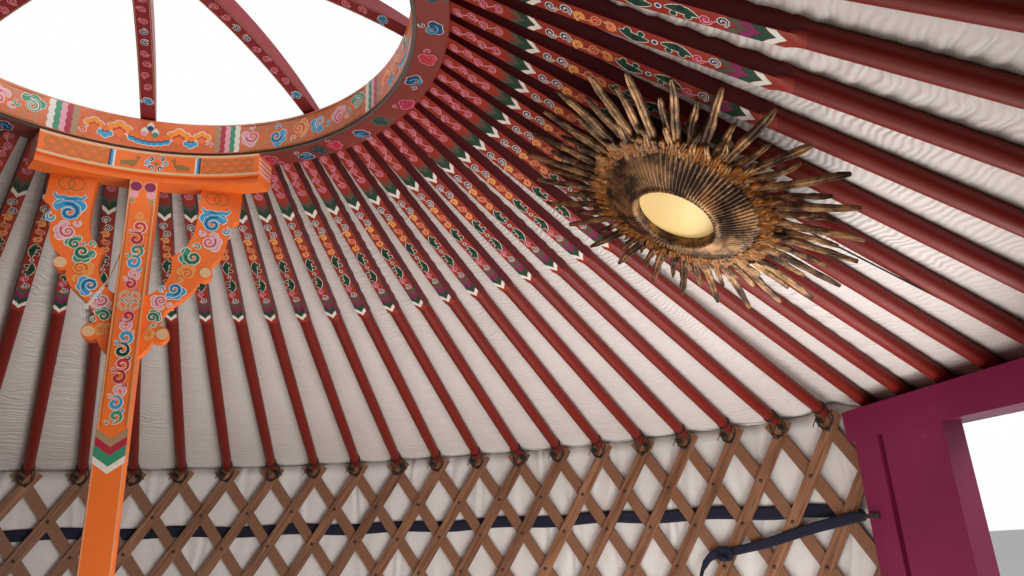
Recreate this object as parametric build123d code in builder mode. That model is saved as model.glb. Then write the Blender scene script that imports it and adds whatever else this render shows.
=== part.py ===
# A felt-covered round tent of the steppe: lattice wall, painted roof poles, a crown ring held
# up by two posts, a wide door frame and a sunburst lamp under the roof.
# Millimetres. +Z is up and the door faces -Y. The origin is on the floor in the middle of the
# footprint. Pieces are drawn about the crown's centre and moved to the origin when they are saved.
# Angles are in degrees about Z, from +X towards +Y.

from build123d import *
from math import acos, atan, cos, degrees, radians, sin
import os

os.makedirs("parts", exist_ok=True)

# Wall
wall_radius = 2800.0        # where the two layers of laths meet
head_height = 1700.0        # the top row of lath bolts
head_count = 60
door_gap_angle = 59.46      # from the first head to the last one, across the door
section_count = 4
panels_per_section = 5
row_height = 185.0          # from one row of crossings to the next
rows_to_floor = 9
lath_width = 56.0
lath_thickness = 12.0
tip_length = 81.0           # from the top bolts to the square ends of the laths

# Crown ring
ring_outer_radius = 868.0
ring_inner_radius = 762.0
ring_bottom = 2724.0
ring_height = 132.0
ring_edge = 8.0
mortise_depth = 60.0
mortises_per_felloe = 9

# Crown spokes and hub
spoke_count = 8
spoke_turn = 19.5
spoke_width = 50.0
spoke_depth = 58.0
spoke_knee = 520.0          # the radius where a spoke has most of its rise
spoke_knee_rise = 82.0      # how far its underside stands above the ring there
hub_radius = 165.0
hub_height = 96.0
hub_rise = 104.0            # from the top of the ring to the underside of the hub
hub_edge = 12.0

# Roof poles
pole_size = 54.0
pole_square = 50.0
painted_share = 0.405       # the share of a pole that is square, from the ring down
pole_at_wall = 1763.0       # height of a pole's middle line over the lattice
pole_at_ring = 2769.0       # height of a pole's middle line at the ring's outer face
pole_overrun = 6.0
tenon_gap = 2.0
door_pole_count = 11
pole_seat = 95.0            # from the door frame's inner face to a pole's middle line at its foot
fit_gap = 0.3

# Posts under the ring
post_turn = 18.5            # the west post stands at the mirror image of this
post_width = 90.0
post_depth = 90.0
post_edge = 1.5
beam_height = 112.0
beam_angle = 54.0
beam_shift = -2.4           # how far the middle of a beam lies past its post
beam_step_height = 26.0
beam_step_inset = 12.0
bracket_thickness = 48.0
bracket_drop = 635.0
bracket_reach = 264.0
bracket_meet = 0.665        # the share of its drop where a bracket meets the post
bracket_skew = 20.0         # how much further one way a pair of brackets stands at the beam

# Door frame
door_plane = 2423.0         # distance of the frame's inner face from the centre
frame_depth = 150.0
horn_depth = 84.0
lintel_half_length = 1256.0
lintel_height = 118.0
lintel_top = 1753.0
stile_outer = 1200.0
stile_width = 168.0
opening_half_width = 646.0
board_depth = 70.0
groove_width = 35.0
groove_depth = 18.0
sill_height = 90.0
hook_length = 92.0          # wooden hooks that hold the ends of the lattice belt
hook_width = 18.0
hook_depth = 14.0
hook_overhang = 11.0
hook_height = 1345.0
hook_edge = 4.0

# Cloths, felts and belts
liner_thickness = 4.0
liner_gap = 8.0             # between the lattice and the wall liner, where the belt runs
felt_thickness = 25.0
cloth_lift = 4.0            # bottom edge of the liner above the floor
cloth_clearance = 2.0       # between the crown ring and the edge of the roof cloths
front_lift = 4.0            # how much looser the cloths lie over the door poles
eave_height = 1645.0        # where the roof cover's hanging edge ends
front_turn = 2.4            # how far past the first head the front of the roof begins
belt_thickness = 3.0
belt_width = 62.0
inner_belt_height = 1415.0
outer_belt_heights = (330.0, 900.0, 1470.0)

# Sunburst lamp
lamp_turn = -81.5
lamp_distance = 1577.0
lamp_drop = 66.0            # from the poles' underside to the lamp's back
lamp_pole = 3               # the door pole that the lamp lies parallel to
ray_count = 48
long_ray = 518.0
short_ray = 330.0
ray_root = 170.0
ray_shoulder = 0.75         # the share of a ray's reach where its taper begins
ray_width = 26.0
ray_tip = 6.0
ray_thickness = 22.0
lamp_rim_outer = 246.0
lamp_rim_inner = 116.0
lamp_rim_lip = 14.0
lamp_rim_thickness = 60.0
lamp_rim_edge = 8.0
glass_edge = 30.0
glass_bulge = 46.0
glass_flat = 20.0
hanger_size = 12.0
hanger_poles = (2, 3, 4)    # the door poles that carry the lamp
hanger_radius = 1600.0
cord_size = 5.0
cord_start = (-128.0, -12.0)    # where the cord leaves the lamp's back
cord_pole = 4               # the door pole that the cord is tied to
cord_tie = 2450.0

# Worked out from the sizes above
pitch = (360.0 - door_gap_angle) / (head_count - 1)
first_head = -90.0 + door_gap_angle / 2
door_pitch = door_gap_angle / (door_pole_count + 1)
heads_per_section = head_count // section_count
panel_heads = heads_per_section // panels_per_section
panel_count = section_count * panels_per_section
quarter_turn = pitch * rows_to_floor / 4
lath_rise = row_height * rows_to_floor
lath_span = 2 * wall_radius * sin(radians(quarter_turn))
lath_slope = degrees(atan(lath_rise / lath_span))
lath_length = lath_rise / sin(radians(lath_slope)) + 2 * tip_length
wall_inner = wall_radius - lath_thickness
wall_outer = wall_radius + lath_thickness
ring_top = ring_bottom + ring_height
ring_middle = (ring_inner_radius + ring_outer_radius) / 2
liner_radius = wall_outer + liner_gap
felt_radius = liner_radius + liner_thickness + fit_gap
wall_face = felt_radius + felt_thickness
frame_back = door_plane + frame_depth
eave_inner = wall_face + fit_gap
eave_outer = eave_inner + felt_thickness
front_face = frame_back + fit_gap + felt_thickness
crown_shift = (eave_outer - front_face) / 2
lintel_bottom = lintel_top - lintel_height
stile_inner = stile_outer - stile_width
beam_bottom = ring_bottom - beam_height


def point_at(radius, angle, height=0.0):
    return Vector(radius * cos(radians(angle)), radius * sin(radians(angle)), height)


def upright(angle):
    return Plane(origin=(0, 0, 0), x_dir=point_at(1, angle), z_dir=point_at(1, angle - 90))


def save(piece, name):
    piece.part.label = name
    piece.part.move(Location((0, -crown_shift, 0)))
    export_step(piece.part, "parts/" + name + ".step")


# Lattice wall: two layers of slanted laths, fused where they cross
def lath_layer(inner, outer, lean, start, end, gap=0):
    first = int(start - rows_to_floor / 2) - 2
    last = int(end + rows_to_floor / 2) + 2
    bend_room = wall_radius * (1 - cos(radians(quarter_turn)))
    with BuildPart() as layer:
        for number in range(first, last + 1):
            turn = number * pitch + lean * quarter_turn
            middle = point_at(wall_radius - bend_room / 2, turn, head_height - lath_rise / 2)
            with Locations(Location(middle, (0, 0, turn))):
                Box(bend_room + 6 * lath_thickness, lath_length + 2 * gap, lath_width + 2 * gap,
                    rotation=(-lean * lath_slope, 0, 0))
        with BuildSketch(upright(start * pitch)):
            with Locations(((inner + outer) / 2, (head_height + lath_length) / 2)):
                Rectangle(outer - inner, head_height + lath_length)
        revolve(axis=Axis.Z, revolution_arc=(end - start) * pitch, mode=Mode.INTERSECT)
    return layer.part


def lattice_panel(start, end):
    with BuildPart() as panel:
        add(lath_layer(wall_inner, wall_radius, 1, start, end))
        add(lath_layer(wall_radius, wall_outer, -1, start, end))
    return panel.part


def door_panel(start, end, turn):
    with BuildPart() as panel:
        add(lattice_panel(start, end).rotate(Axis.Z, turn))
        with Locations((0, -wall_radius, lintel_bottom - fit_gap)):
            Box(2 * (lintel_half_length + fit_gap), wall_radius, head_height,
                align=(Align.CENTER, Align.CENTER, Align.MIN), mode=Mode.SUBTRACT)
    return panel.part


def frame_edge(radius):
    return -degrees(acos((stile_outer + fit_gap) / radius))


edge_gap = degrees(fit_gap / wall_radius) / pitch
frame_side = (first_head - frame_edge(wall_inner)) / pitch
panel_turns = [first_head + number * panel_heads * pitch for number in range(panel_count)]
plain_panel = lattice_panel(-0.5 + edge_gap, panel_heads - 0.5 - edge_gap)
panels = [plain_panel.rotate(Axis.Z, turn) for turn in panel_turns]
panels[0] = door_panel(-frame_side, panel_heads - 0.5 - edge_gap, panel_turns[0])
panels[-1] = door_panel(-0.5 + edge_gap, panel_heads - 1 + frame_side, panel_turns[-1])
for section in range(section_count):
    with BuildPart() as wall_lattice:
        add(panels[section * panels_per_section:(section + 1) * panels_per_section])
    save(wall_lattice, f"wall_lattice_{section + 1}")


# Roof poles: square under the crown, planed round towards the wall
def pole_body(end_radius, end_height):
    fall = Vector(end_radius - ring_outer_radius, 0, end_height - pole_at_ring)
    plane = Plane(origin=(ring_outer_radius, 0, pole_at_ring), x_dir=(0, 1, 0), z_dir=fall)
    square_length = painted_share * (wall_radius - ring_outer_radius) / cos(radians(wall_fall))
    tenon = mortise_depth - tenon_gap
    with BuildPart() as body:
        with BuildSketch(plane.offset(-tenon)):
            Rectangle(pole_square, pole_square)
        extrude(amount=tenon + square_length)
        with BuildSketch(plane.offset(square_length)):
            RegularPolygon(pole_size / 2, 8, major_radius=False, rotation=22.5)
        extrude(amount=fall.length - square_length)
    return body.part


wall_slope = (pole_at_ring - pole_at_wall) / (wall_radius - ring_outer_radius)
wall_fall = degrees(atan(wall_slope))
with BuildPart() as wall_pole:
    add(pole_body(wall_radius + pole_overrun, pole_at_wall - pole_overrun * wall_slope))
    for lean in (1, -1):
        add(lath_layer(wall_inner - fit_gap, wall_outer + pole_size, lean, -1, 1,
                       fit_gap), mode=Mode.SUBTRACT)
pole_pieces = wall_pole.part.solids().sort_by(SortBy.VOLUME)

for section in range(section_count):
    with BuildPart() as roof_poles:
        with PolarLocations(0, heads_per_section, endpoint=True,
                            start_angle=first_head + section * heads_per_section * pitch,
                            angular_range=(heads_per_section - 1) * pitch):
            add(pole_pieces[-1])
    save(roof_poles, f"roof_poles_{section + 1}")


# Over the door the poles stand with level feet on top of the lintel
def door_slope(angle):
    reach = (door_plane + pole_seat) / abs(sin(radians(angle)))
    return (pole_at_ring - lintel_top) / (reach - ring_outer_radius)


def door_pole(angle):
    reach = (frame_back + pole_size) / abs(sin(radians(angle)))
    drop = (reach - ring_outer_radius) * door_slope(angle)
    with BuildPart() as pole:
        add(pole_body(reach, pole_at_ring - drop))
        split(bisect_by=Plane.XY.offset(lintel_top), keep=Keep.TOP)
    return pole.part.rotate(Axis.Z, angle)


door_angles = [first_head - door_pitch * (number + 1) for number in range(door_pole_count)]
with BuildPart() as door_poles:
    add([door_pole(angle) for angle in door_angles])
save(door_poles, "door_poles")

# Crown ring: felloes butted end to end, with a mortise for every pole
mortises = [(first_head + number * pitch, wall_slope) for number in range(head_count)]
mortises += [(angle + 360, door_slope(angle)) for angle in reversed(door_angles)]
joint_angles = [first_head - door_pitch / 2]
for after in range(mortises_per_felloe, len(mortises), mortises_per_felloe):
    joint_angles.append((mortises[after - 1][0] + mortises[after][0]) / 2)
joint_angles.append(joint_angles[0] + 360)
joint_gap = degrees(fit_gap / ring_inner_radius)


def mortise_plane(angle, slope):
    outward = point_at(1, angle)
    return Plane(origin=point_at(ring_outer_radius, angle, pole_at_ring),
                 x_dir=point_at(1, angle + 90), z_dir=Vector(outward.X, outward.Y, -slope))


with BuildPart() as crown_ring:
    for start, end in zip(joint_angles, joint_angles[1:]):
        with BuildSketch(upright(start)):
            with Locations((ring_middle, ring_bottom + ring_height / 2)):
                RectangleRounded(ring_outer_radius - ring_inner_radius, ring_height, ring_edge)
        revolve(axis=Axis.Z, revolution_arc=end - start - joint_gap)
    for angle, slope in mortises:
        with BuildSketch(mortise_plane(angle, slope).offset(-mortise_depth)):
            Rectangle(pole_square + 2 * fit_gap, pole_square + 2 * fit_gap)
        extrude(amount=2 * mortise_depth, mode=Mode.SUBTRACT)
save(crown_ring, "crown_ring")

# Crown spokes: bent arms that stand on the ring and meet in a turned hub
hub_bottom = ring_top + hub_rise
spoke_seat = (hub_height - spoke_depth) / 2
with BuildPart() as crown_hub:
    with BuildSketch(Plane.XY.offset(hub_bottom)):
        Circle(hub_radius)
    extrude(amount=hub_height)
    fillet(crown_hub.edges().filter_by(GeomType.CIRCLE), hub_edge)
save(crown_hub, "crown_hub")

with BuildPart() as spoke:
    with BuildSketch(Plane.XZ):
        with BuildLine():
            low = ThreePointArc((ring_middle - spoke_depth / 2, ring_top),
                                (spoke_knee, ring_top + spoke_knee_rise),
                                (hub_radius / 2, hub_bottom + spoke_seat))
            high = ThreePointArc((ring_middle + spoke_depth / 2, ring_top),
                                 (spoke_knee, ring_top + spoke_knee_rise + spoke_depth),
                                 (hub_radius / 2, hub_bottom + spoke_seat + spoke_depth))
            Line(high @ 0, low @ 0)
            Line(high @ 1, low @ 1)
        make_face()
    extrude(amount=spoke_width / 2, both=True)
    with Locations((0, 0, hub_bottom - hub_height)):
        Cylinder(hub_radius + fit_gap, 3 * hub_height,
                 align=(Align.CENTER, Align.CENTER, Align.MIN), mode=Mode.SUBTRACT)
with BuildPart() as crown_spokes:
    with PolarLocations(0, spoke_count, start_angle=spoke_turn):
        add(spoke.part)
save(crown_spokes, "crown_spokes")


# Posts, arched beams and scroll brackets
def bracket_outline(lean):
    def place(out, down):
        skew = lean * bracket_skew * max(0, 1 - down / bracket_meet)
        return post_width / 2 + out * bracket_reach + skew, beam_bottom - down * bracket_drop

    with BuildLine() as outline:
        inner = Spline(place(0.462, 0), place(0.473, 0.121), place(0.466, 0.224),
                       place(0.436, 0.313), place(0.356, 0.380), place(0.220, 0.431))
        hollow = ThreePointArc(inner @ 1, place(0.240, 0.550), place(0, bracket_meet))
        foot = Line(hollow @ 1, place(0, 1))
        heel = ThreePointArc(foot @ 1, place(0.095, 0.955), place(0.144, 0.910))
        low_knob = ThreePointArc(heel @ 1, place(0.326, 0.874), place(0.193, 0.831))
        belly = Spline(low_knob @ 1, place(0.299, 0.724), place(0.561, 0.608), place(0.598, 0.546))
        high_knob = ThreePointArc(belly @ 1, place(0.758, 0.509), place(0.697, 0.471))
        horn = Spline(high_knob @ 1, place(0.864, 0.357), place(0.894, 0.255), place(0.932, 0.191))
        spur = Line(horn @ 1, place(1.004, 0.170))
        edge = Line(spur @ 1, place(1, 0))
        Line(edge @ 1, inner @ 0)
    return outline.line


for name, turn, hand in (("east", post_turn, 1), ("west", 180 - post_turn, -1)):
    face = Plane(origin=point_at(ring_middle, turn), x_dir=point_at(1, turn + 90),
                 z_dir=point_at(1, turn))
    with BuildPart() as centre_post:
        with Locations(Location(point_at(ring_middle, turn), (0, 0, turn))):
            Box(post_depth, post_width, beam_bottom,
                align=(Align.CENTER, Align.CENTER, Align.MIN))
        chamfer(centre_post.edges().filter_by(Axis.Z), post_edge)
    save(centre_post, f"centre_post_{name}")

    with BuildPart() as post_beam:
        with BuildSketch(upright(turn + hand * beam_shift - beam_angle / 2)):
            with Locations((ring_middle, ring_bottom)):
                Rectangle(ring_outer_radius - ring_inner_radius, beam_height - beam_step_height,
                          align=(Align.CENTER, Align.MAX))
            with Locations((ring_middle, beam_bottom)):
                Rectangle(ring_outer_radius - ring_inner_radius - 2 * beam_step_inset,
                          beam_step_height, align=(Align.CENTER, Align.MIN))
        revolve(axis=Axis.Z, revolution_arc=beam_angle)
    save(post_beam, f"post_beam_{name}")

    for side, lean in (("left", -1), ("right", 1)):
        with BuildPart() as bracket:
            with BuildSketch(face):
                with BuildLine():
                    add(bracket_outline(hand * lean))
                make_face()
                if lean > 0:
                    mirror(about=Plane.YZ, mode=Mode.REPLACE)
            extrude(amount=bracket_thickness / 2, both=True)
        save(bracket, f"bracket_{name}_{side}")

# Door frame: lintel with horns, stiles, wide inner boards with a groove, and a sill
with BuildPart() as door_lintel:
    with BuildSketch(Plane.XY.offset(lintel_bottom)):
        with Locations((0, -door_plane - horn_depth / 2)):
            Rectangle(2 * lintel_half_length, horn_depth)
        with Locations((0, -door_plane - frame_depth / 2)):
            Rectangle(2 * stile_outer, frame_depth)
    extrude(amount=lintel_height)
save(door_lintel, "door_lintel")

for side, sign in (("left", -1), ("right", 1)):
    with BuildPart() as door_stile:
        with Locations((sign * (stile_outer + stile_inner) / 2, -door_plane - frame_depth / 2)):
            Box(stile_width, frame_depth, lintel_bottom,
                align=(Align.CENTER, Align.CENTER, Align.MIN))
    save(door_stile, f"door_stile_{side}")

    board_middle = (stile_inner + opening_half_width) / 2
    with BuildPart() as door_board:
        with Locations((sign * board_middle, -door_plane - board_depth / 2)):
            Box(stile_inner - opening_half_width, board_depth, lintel_bottom,
                align=(Align.CENTER, Align.CENTER, Align.MIN))
        with Locations((sign * (stile_inner - groove_width / 2), -door_plane)):
            Box(groove_width, 2 * groove_depth, 3 * lintel_bottom, mode=Mode.SUBTRACT)
    save(door_board, f"door_board_{side}")

with BuildPart() as door_sill:
    with Locations((0, -door_plane - board_depth / 2)):
        Box(2 * opening_half_width, board_depth, sill_height,
            align=(Align.CENTER, Align.CENTER, Align.MIN))
save(door_sill, "door_sill")

hook_middle = stile_outer + hook_overhang - hook_length / 2
with BuildPart() as belt_hooks:
    with Locations((hook_middle, -door_plane + hook_depth / 2, hook_height),
                   (-hook_middle, -door_plane + hook_depth / 2, hook_height)):
        Box(hook_length, hook_depth, hook_width)
    fillet(belt_hooks.faces().filter_by(Axis.Y).group_by(Axis.Y)[-1].edges(), hook_edge)
save(belt_hooks, "belt_hooks")


# Cloths: a liner and a felt cover on the wall, and the same two on the roof
def cloth_height(radius, slope, layer):
    fall = atan(slope)
    return pole_at_ring - (radius - ring_outer_radius) * slope + (pole_size / 2 + layer) / cos(fall)


def wall_cloth(inner, outer, bottom, layer, start, end):
    with BuildPart() as cloth:
        with BuildSketch(upright(start)):
            Polygon((inner, bottom), (outer, bottom),
                    (outer, cloth_height(outer, wall_slope, layer)),
                    (inner, cloth_height(inner, wall_slope, layer)), align=None)
        revolve(axis=Axis.Z, revolution_arc=end - start)
    return cloth.part


def liner_outline(reach, slope, lift=0.0):
    start = ring_outer_radius + cloth_clearance
    below = under_liner + lift
    above = over_liner + lift
    return ((start, cloth_height(start, slope, below)), (reach, cloth_height(reach, slope, below)),
            (reach, cloth_height(reach, slope, above)), (start, cloth_height(start, slope, above)))


def cover_outline(inner_edge, outer_edge, slope, lift=0.0):
    start = ring_outer_radius + cloth_clearance
    below = under_felt + lift
    above = over_felt + lift
    return ((start, cloth_height(start, slope, below)),
            (inner_edge, cloth_height(inner_edge, slope, below)), (inner_edge, eave_height),
            (outer_edge, eave_height), (outer_edge, cloth_height(outer_edge, slope, above)),
            (start, cloth_height(start, slope, above)))


def trimmed_wall_cloth(inner, outer, bottom, layer, start, end):
    with BuildPart() as cloth:
        add(wall_cloth(inner, outer, bottom, layer, start, end))
        with Locations((0, -wall_radius, lintel_bottom - fit_gap)):
            Box(2 * horn_space, wall_radius, head_height,
                align=(Align.CENTER, Align.CENTER, Align.MIN), mode=Mode.SUBTRACT)
    return cloth.part


under_liner = fit_gap
over_liner = fit_gap + liner_thickness
under_felt = over_liner + fit_gap
over_felt = under_felt + felt_thickness
cloth_start = frame_edge(wall_outer)
cloth_end = 180 - cloth_start
roof_start = first_head - front_turn
horn_space = wall_face * cos(radians(roof_start))

with BuildPart() as wall_liner:
    add(trimmed_wall_cloth(liner_radius, liner_radius + liner_thickness, cloth_lift, 0,
                           cloth_start, cloth_end))
save(wall_liner, "wall_liner")

cover_turn = (cloth_end - cloth_start) / panel_count
cover_gap = degrees(fit_gap / felt_radius)
for section in range(section_count):
    with BuildPart() as wall_cover:
        for place in range(panels_per_section):
            start = cloth_start + (section * panels_per_section + place) * cover_turn
            add(trimmed_wall_cloth(felt_radius, wall_face, 0, over_liner,
                                   start + cover_gap, start + cover_turn))
    save(wall_cover, f"wall_cover_{section + 1}")

roof_turn = (360 - door_gap_angle + 2 * front_turn) / panel_count
liner_reach = liner_radius + liner_thickness

with BuildPart() as roof_liner:
    with BuildSketch(upright(roof_start)):
        Polygon(*liner_outline(liner_reach, wall_slope), align=None)
    revolve(axis=Axis.Z, revolution_arc=panel_count * roof_turn)
save(roof_liner, "roof_liner")

for section in range(section_count):
    with BuildPart() as roof_cover:
        for place in range(panels_per_section):
            start = roof_start + (section * panels_per_section + place) * roof_turn
            with BuildSketch(upright(start + cover_gap)):
                Polygon(*cover_outline(eave_inner, eave_outer, wall_slope), align=None)
            revolve(axis=Axis.Z, revolution_arc=roof_turn - cover_gap)
    save(roof_cover, f"roof_cover_{section + 1}")


# The front of the roof follows the door poles down to the straight lintel
corner_angle = -degrees(atan((frame_back + fit_gap) / (stile_outer + fit_gap)))
front_angles = [roof_start, corner_angle] + door_angles + [-180 - corner_angle, -180 - roof_start]


def front_reach(angle, round_reach, flat_reach):
    return min(round_reach, flat_reach / abs(sin(radians(angle))))


def front_slope(angle):
    return wall_slope if angle in (roof_start, -180 - roof_start) else door_slope(angle)


with BuildPart() as front_liner:
    for angle in front_angles:
        with BuildSketch(upright(angle)):
            Polygon(*liner_outline(front_reach(angle, liner_reach, frame_back),
                                   front_slope(angle), front_lift), align=None)
    loft(ruled=True)
save(front_liner, "front_liner")

with BuildPart() as front_cover:
    for angle in front_angles:
        inner_edge = front_reach(angle, eave_inner, frame_back + fit_gap)
        outer_edge = front_reach(angle, eave_outer, front_face)
        with BuildSketch(upright(angle)):
            Polygon(*cover_outline(inner_edge, outer_edge, front_slope(angle), front_lift),
                    align=None)
    loft(ruled=True)
save(front_cover, "front_cover")


# Belts: one between the lattice and the liner, three round the outside
def belt(radius, height):
    with BuildPart() as band:
        with BuildSketch(upright(cloth_start)):
            with Locations((radius + belt_thickness / 2, height)):
                Rectangle(belt_thickness, belt_width)
        revolve(axis=Axis.Z, revolution_arc=cloth_end - cloth_start)
    return band.part


with BuildPart() as inner_belt:
    add(belt(wall_outer + fit_gap, inner_belt_height))
save(inner_belt, "inner_belt")

with BuildPart() as outer_belts:
    for height in outer_belt_heights:
        add(belt(wall_face + fit_gap, height))
save(outer_belts, "outer_belts")

# Sunburst lamp, parallel to the roof poles that it hangs from
def under_pole(angle, radius):
    slope = door_slope(angle)
    drop = (radius - ring_outer_radius) * slope + (pole_square / 2 + fit_gap) / cos(atan(slope))
    out = point_at(1, angle)
    return Plane(origin=point_at(radius, angle, pole_at_ring - drop),
                 x_dir=point_at(1, angle + 90), z_dir=Vector(-slope * out.X, -slope * out.Y, -1))


lamp_slope = door_slope(door_angles[lamp_pole])
lamp_out = point_at(1, lamp_turn)
lamp_down = Vector(-lamp_slope * lamp_out.X, -lamp_slope * lamp_out.Y, -1)
lamp_back = Plane(origin=point_at(lamp_distance, lamp_turn,
                                  cloth_height(lamp_distance, lamp_slope, -pole_size)),
                  x_dir=point_at(1, lamp_turn + 90), z_dir=lamp_down).offset(lamp_drop)
lamp_side = Plane(origin=lamp_back.origin, x_dir=lamp_back.x_dir, z_dir=-lamp_back.y_dir)
lamp_axis = Axis(lamp_back.origin, lamp_back.z_dir)

# Each ray runs from a valley to a shoulder and then to a blunt tip
star = []
for number in range(ray_count):
    reach = short_ray if number % 2 else long_ray
    valley = radians(180 / ray_count)
    ray = [(ray_root * cos(valley), -ray_root * sin(valley)),
           (ray_shoulder * reach, -ray_width / 2), (reach, -ray_tip / 2),
           (reach, ray_tip / 2), (ray_shoulder * reach, ray_width / 2)]
    turn = radians(number * 360 / ray_count)
    star += [(x * cos(turn) - y * sin(turn), x * sin(turn) + y * cos(turn)) for x, y in ray]
with BuildPart() as lamp_rays:
    with BuildSketch(lamp_back):
        Polygon(*star, align=None)
    extrude(amount=ray_thickness)
save(lamp_rays, "lamp_rays")

with BuildPart() as lamp_rim:
    with BuildSketch(lamp_side):
        rim_front = ray_thickness + lamp_rim_thickness
        with BuildLine():
            lip = Polyline((lamp_rim_outer, ray_thickness + lamp_rim_edge),
                           (lamp_rim_outer, ray_thickness), (lamp_rim_inner, ray_thickness),
                           (lamp_rim_inner, rim_front), (lamp_rim_inner + lamp_rim_lip, rim_front))
            TangentArc(lip @ 1, lip @ 0, tangent=(1, -0.2))
        make_face()
    revolve(axis=lamp_axis)
save(lamp_rim, "lamp_rim")

with BuildPart() as lamp_glass:
    with BuildSketch(lamp_side):
        with BuildLine():
            edge = Polyline((glass_flat, ray_thickness + glass_bulge),
                            (0, ray_thickness + glass_bulge), (0, ray_thickness),
                            (lamp_rim_inner - fit_gap, ray_thickness),
                            (lamp_rim_inner - fit_gap, ray_thickness + glass_edge))
            ThreePointArc(edge @ 1, (0.6 * lamp_rim_inner, ray_thickness + 0.85 * glass_bulge),
                          edge @ 0)
        make_face()
    revolve(axis=lamp_axis)
save(lamp_glass, "lamp_glass")


def hanger(number):
    seat = under_pole(door_angles[number], hanger_radius)
    foot = lamp_back.to_local_coords(seat.origin)
    with BuildPart() as rod:
        with BuildSketch(lamp_back.offset(-fit_gap)):
            with Locations((foot.X, foot.Y)):
                Circle(hanger_size / 2)
        extrude(amount=-2 * lamp_drop)
        split(bisect_by=seat, keep=Keep.TOP)
    return rod.part


with BuildPart() as lamp_hangers:
    add([hanger(number) for number in hanger_poles])
save(lamp_hangers, "lamp_hangers")

# The lamp's cord runs taut from its back to the side of a door pole
def beside_pole(angle, radius):
    height = pole_at_ring - (radius - ring_outer_radius) * door_slope(angle)
    aside = pole_size / 2 + fit_gap + cord_size / 2
    return point_at(radius, angle, height) + aside * point_at(1, angle + 90)


cord_end = beside_pole(door_angles[cord_pole], cord_tie)
cord_run = lamp_back.from_local_coords(cord_start) - cord_end
with BuildPart() as lamp_cord:
    with BuildSketch(Plane(origin=cord_end, z_dir=cord_run)):
        Circle(cord_size / 2)
    extrude(amount=2 * cord_run.length)
    split(bisect_by=lamp_back.offset(-fit_gap), keep=Keep.BOTTOM)
save(lamp_cord, "lamp_cord")
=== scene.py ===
# Looks for a round felt tent: painted poles, crown and posts, lattice, linings, covers and lamp.
# Metres. Shapes are worked out about the crown's centre and moved to its place when they are made.
import math

import bmesh
import bpy
import numpy as np
from mathutils import Matrix, Vector


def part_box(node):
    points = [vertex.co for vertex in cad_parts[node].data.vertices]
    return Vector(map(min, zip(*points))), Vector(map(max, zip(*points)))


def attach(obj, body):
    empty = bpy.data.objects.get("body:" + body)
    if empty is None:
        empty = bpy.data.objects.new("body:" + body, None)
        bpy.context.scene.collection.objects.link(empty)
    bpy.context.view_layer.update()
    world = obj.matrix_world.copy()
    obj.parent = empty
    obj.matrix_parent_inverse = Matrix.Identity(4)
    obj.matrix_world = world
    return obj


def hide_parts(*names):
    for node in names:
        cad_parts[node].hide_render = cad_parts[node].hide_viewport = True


bl_info = {
    "name": "Felt Tent Looks",
    "version": (1, 0, 0),
    "blender": (4, 5, 0),
    "location": "View3D > Sidebar > Felt Tent",
    "description": "Paint, cloth, fittings and light for a round felt tent",
    "category": "Object",
}

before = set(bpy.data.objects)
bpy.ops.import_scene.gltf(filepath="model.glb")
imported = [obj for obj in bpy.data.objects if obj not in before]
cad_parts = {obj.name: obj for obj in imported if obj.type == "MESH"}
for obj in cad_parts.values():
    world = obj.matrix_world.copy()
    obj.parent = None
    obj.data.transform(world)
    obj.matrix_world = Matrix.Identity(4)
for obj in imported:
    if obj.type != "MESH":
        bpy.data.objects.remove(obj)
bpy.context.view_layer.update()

ring_low, ring_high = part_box("crown_ring")
lintel_low, lintel_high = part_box("door_lintel")
hub_low, hub_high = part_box("crown_hub")

CENTRE = Vector(((ring_low.x + ring_high.x) / 2, (ring_low.y + ring_high.y) / 2, 0))
RING_OUTER = ring_high.x - CENTRE.x
RING_BOTTOM = ring_low.z
RING_TOP = ring_high.z
FRAME_FACE = CENTRE.y - lintel_high.y
FRAME_BACK = CENTRE.y - lintel_low.y
LINTEL_TOP = lintel_high.z
LINTEL_BOTTOM = lintel_low.z
LINTEL_HALF = lintel_high.x

# From a pole's middle line to its top, then what the linings and covers share: reaches from the
# crown's centre, the distance of the door's sides from the middle, and the height of the eave
POLE_TOP = 0.027
LINING_REACH = 2.822
CANVAS_REACH = 2.8740
CANVAS_FRONT = FRAME_BACK + 0.0250
DOOR_SIDE = 1.2005
EAVE_HEIGHT = 1.647


def length_property(name, description, default):
    return bpy.props.FloatProperty(name=name, description=description, default=default,
                                   unit="LENGTH")


def angle_property(name, description, degrees):
    return bpy.props.FloatProperty(name=name, description=description,
                                   default=math.radians(degrees), subtype="ANGLE")


def count_property(name, description, default):
    return bpy.props.IntProperty(name=name, description=description, default=default)


def colour_property(name, description, default):
    return bpy.props.FloatVectorProperty(name=name, description=description, default=default,
                                         subtype="COLOR")


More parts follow.
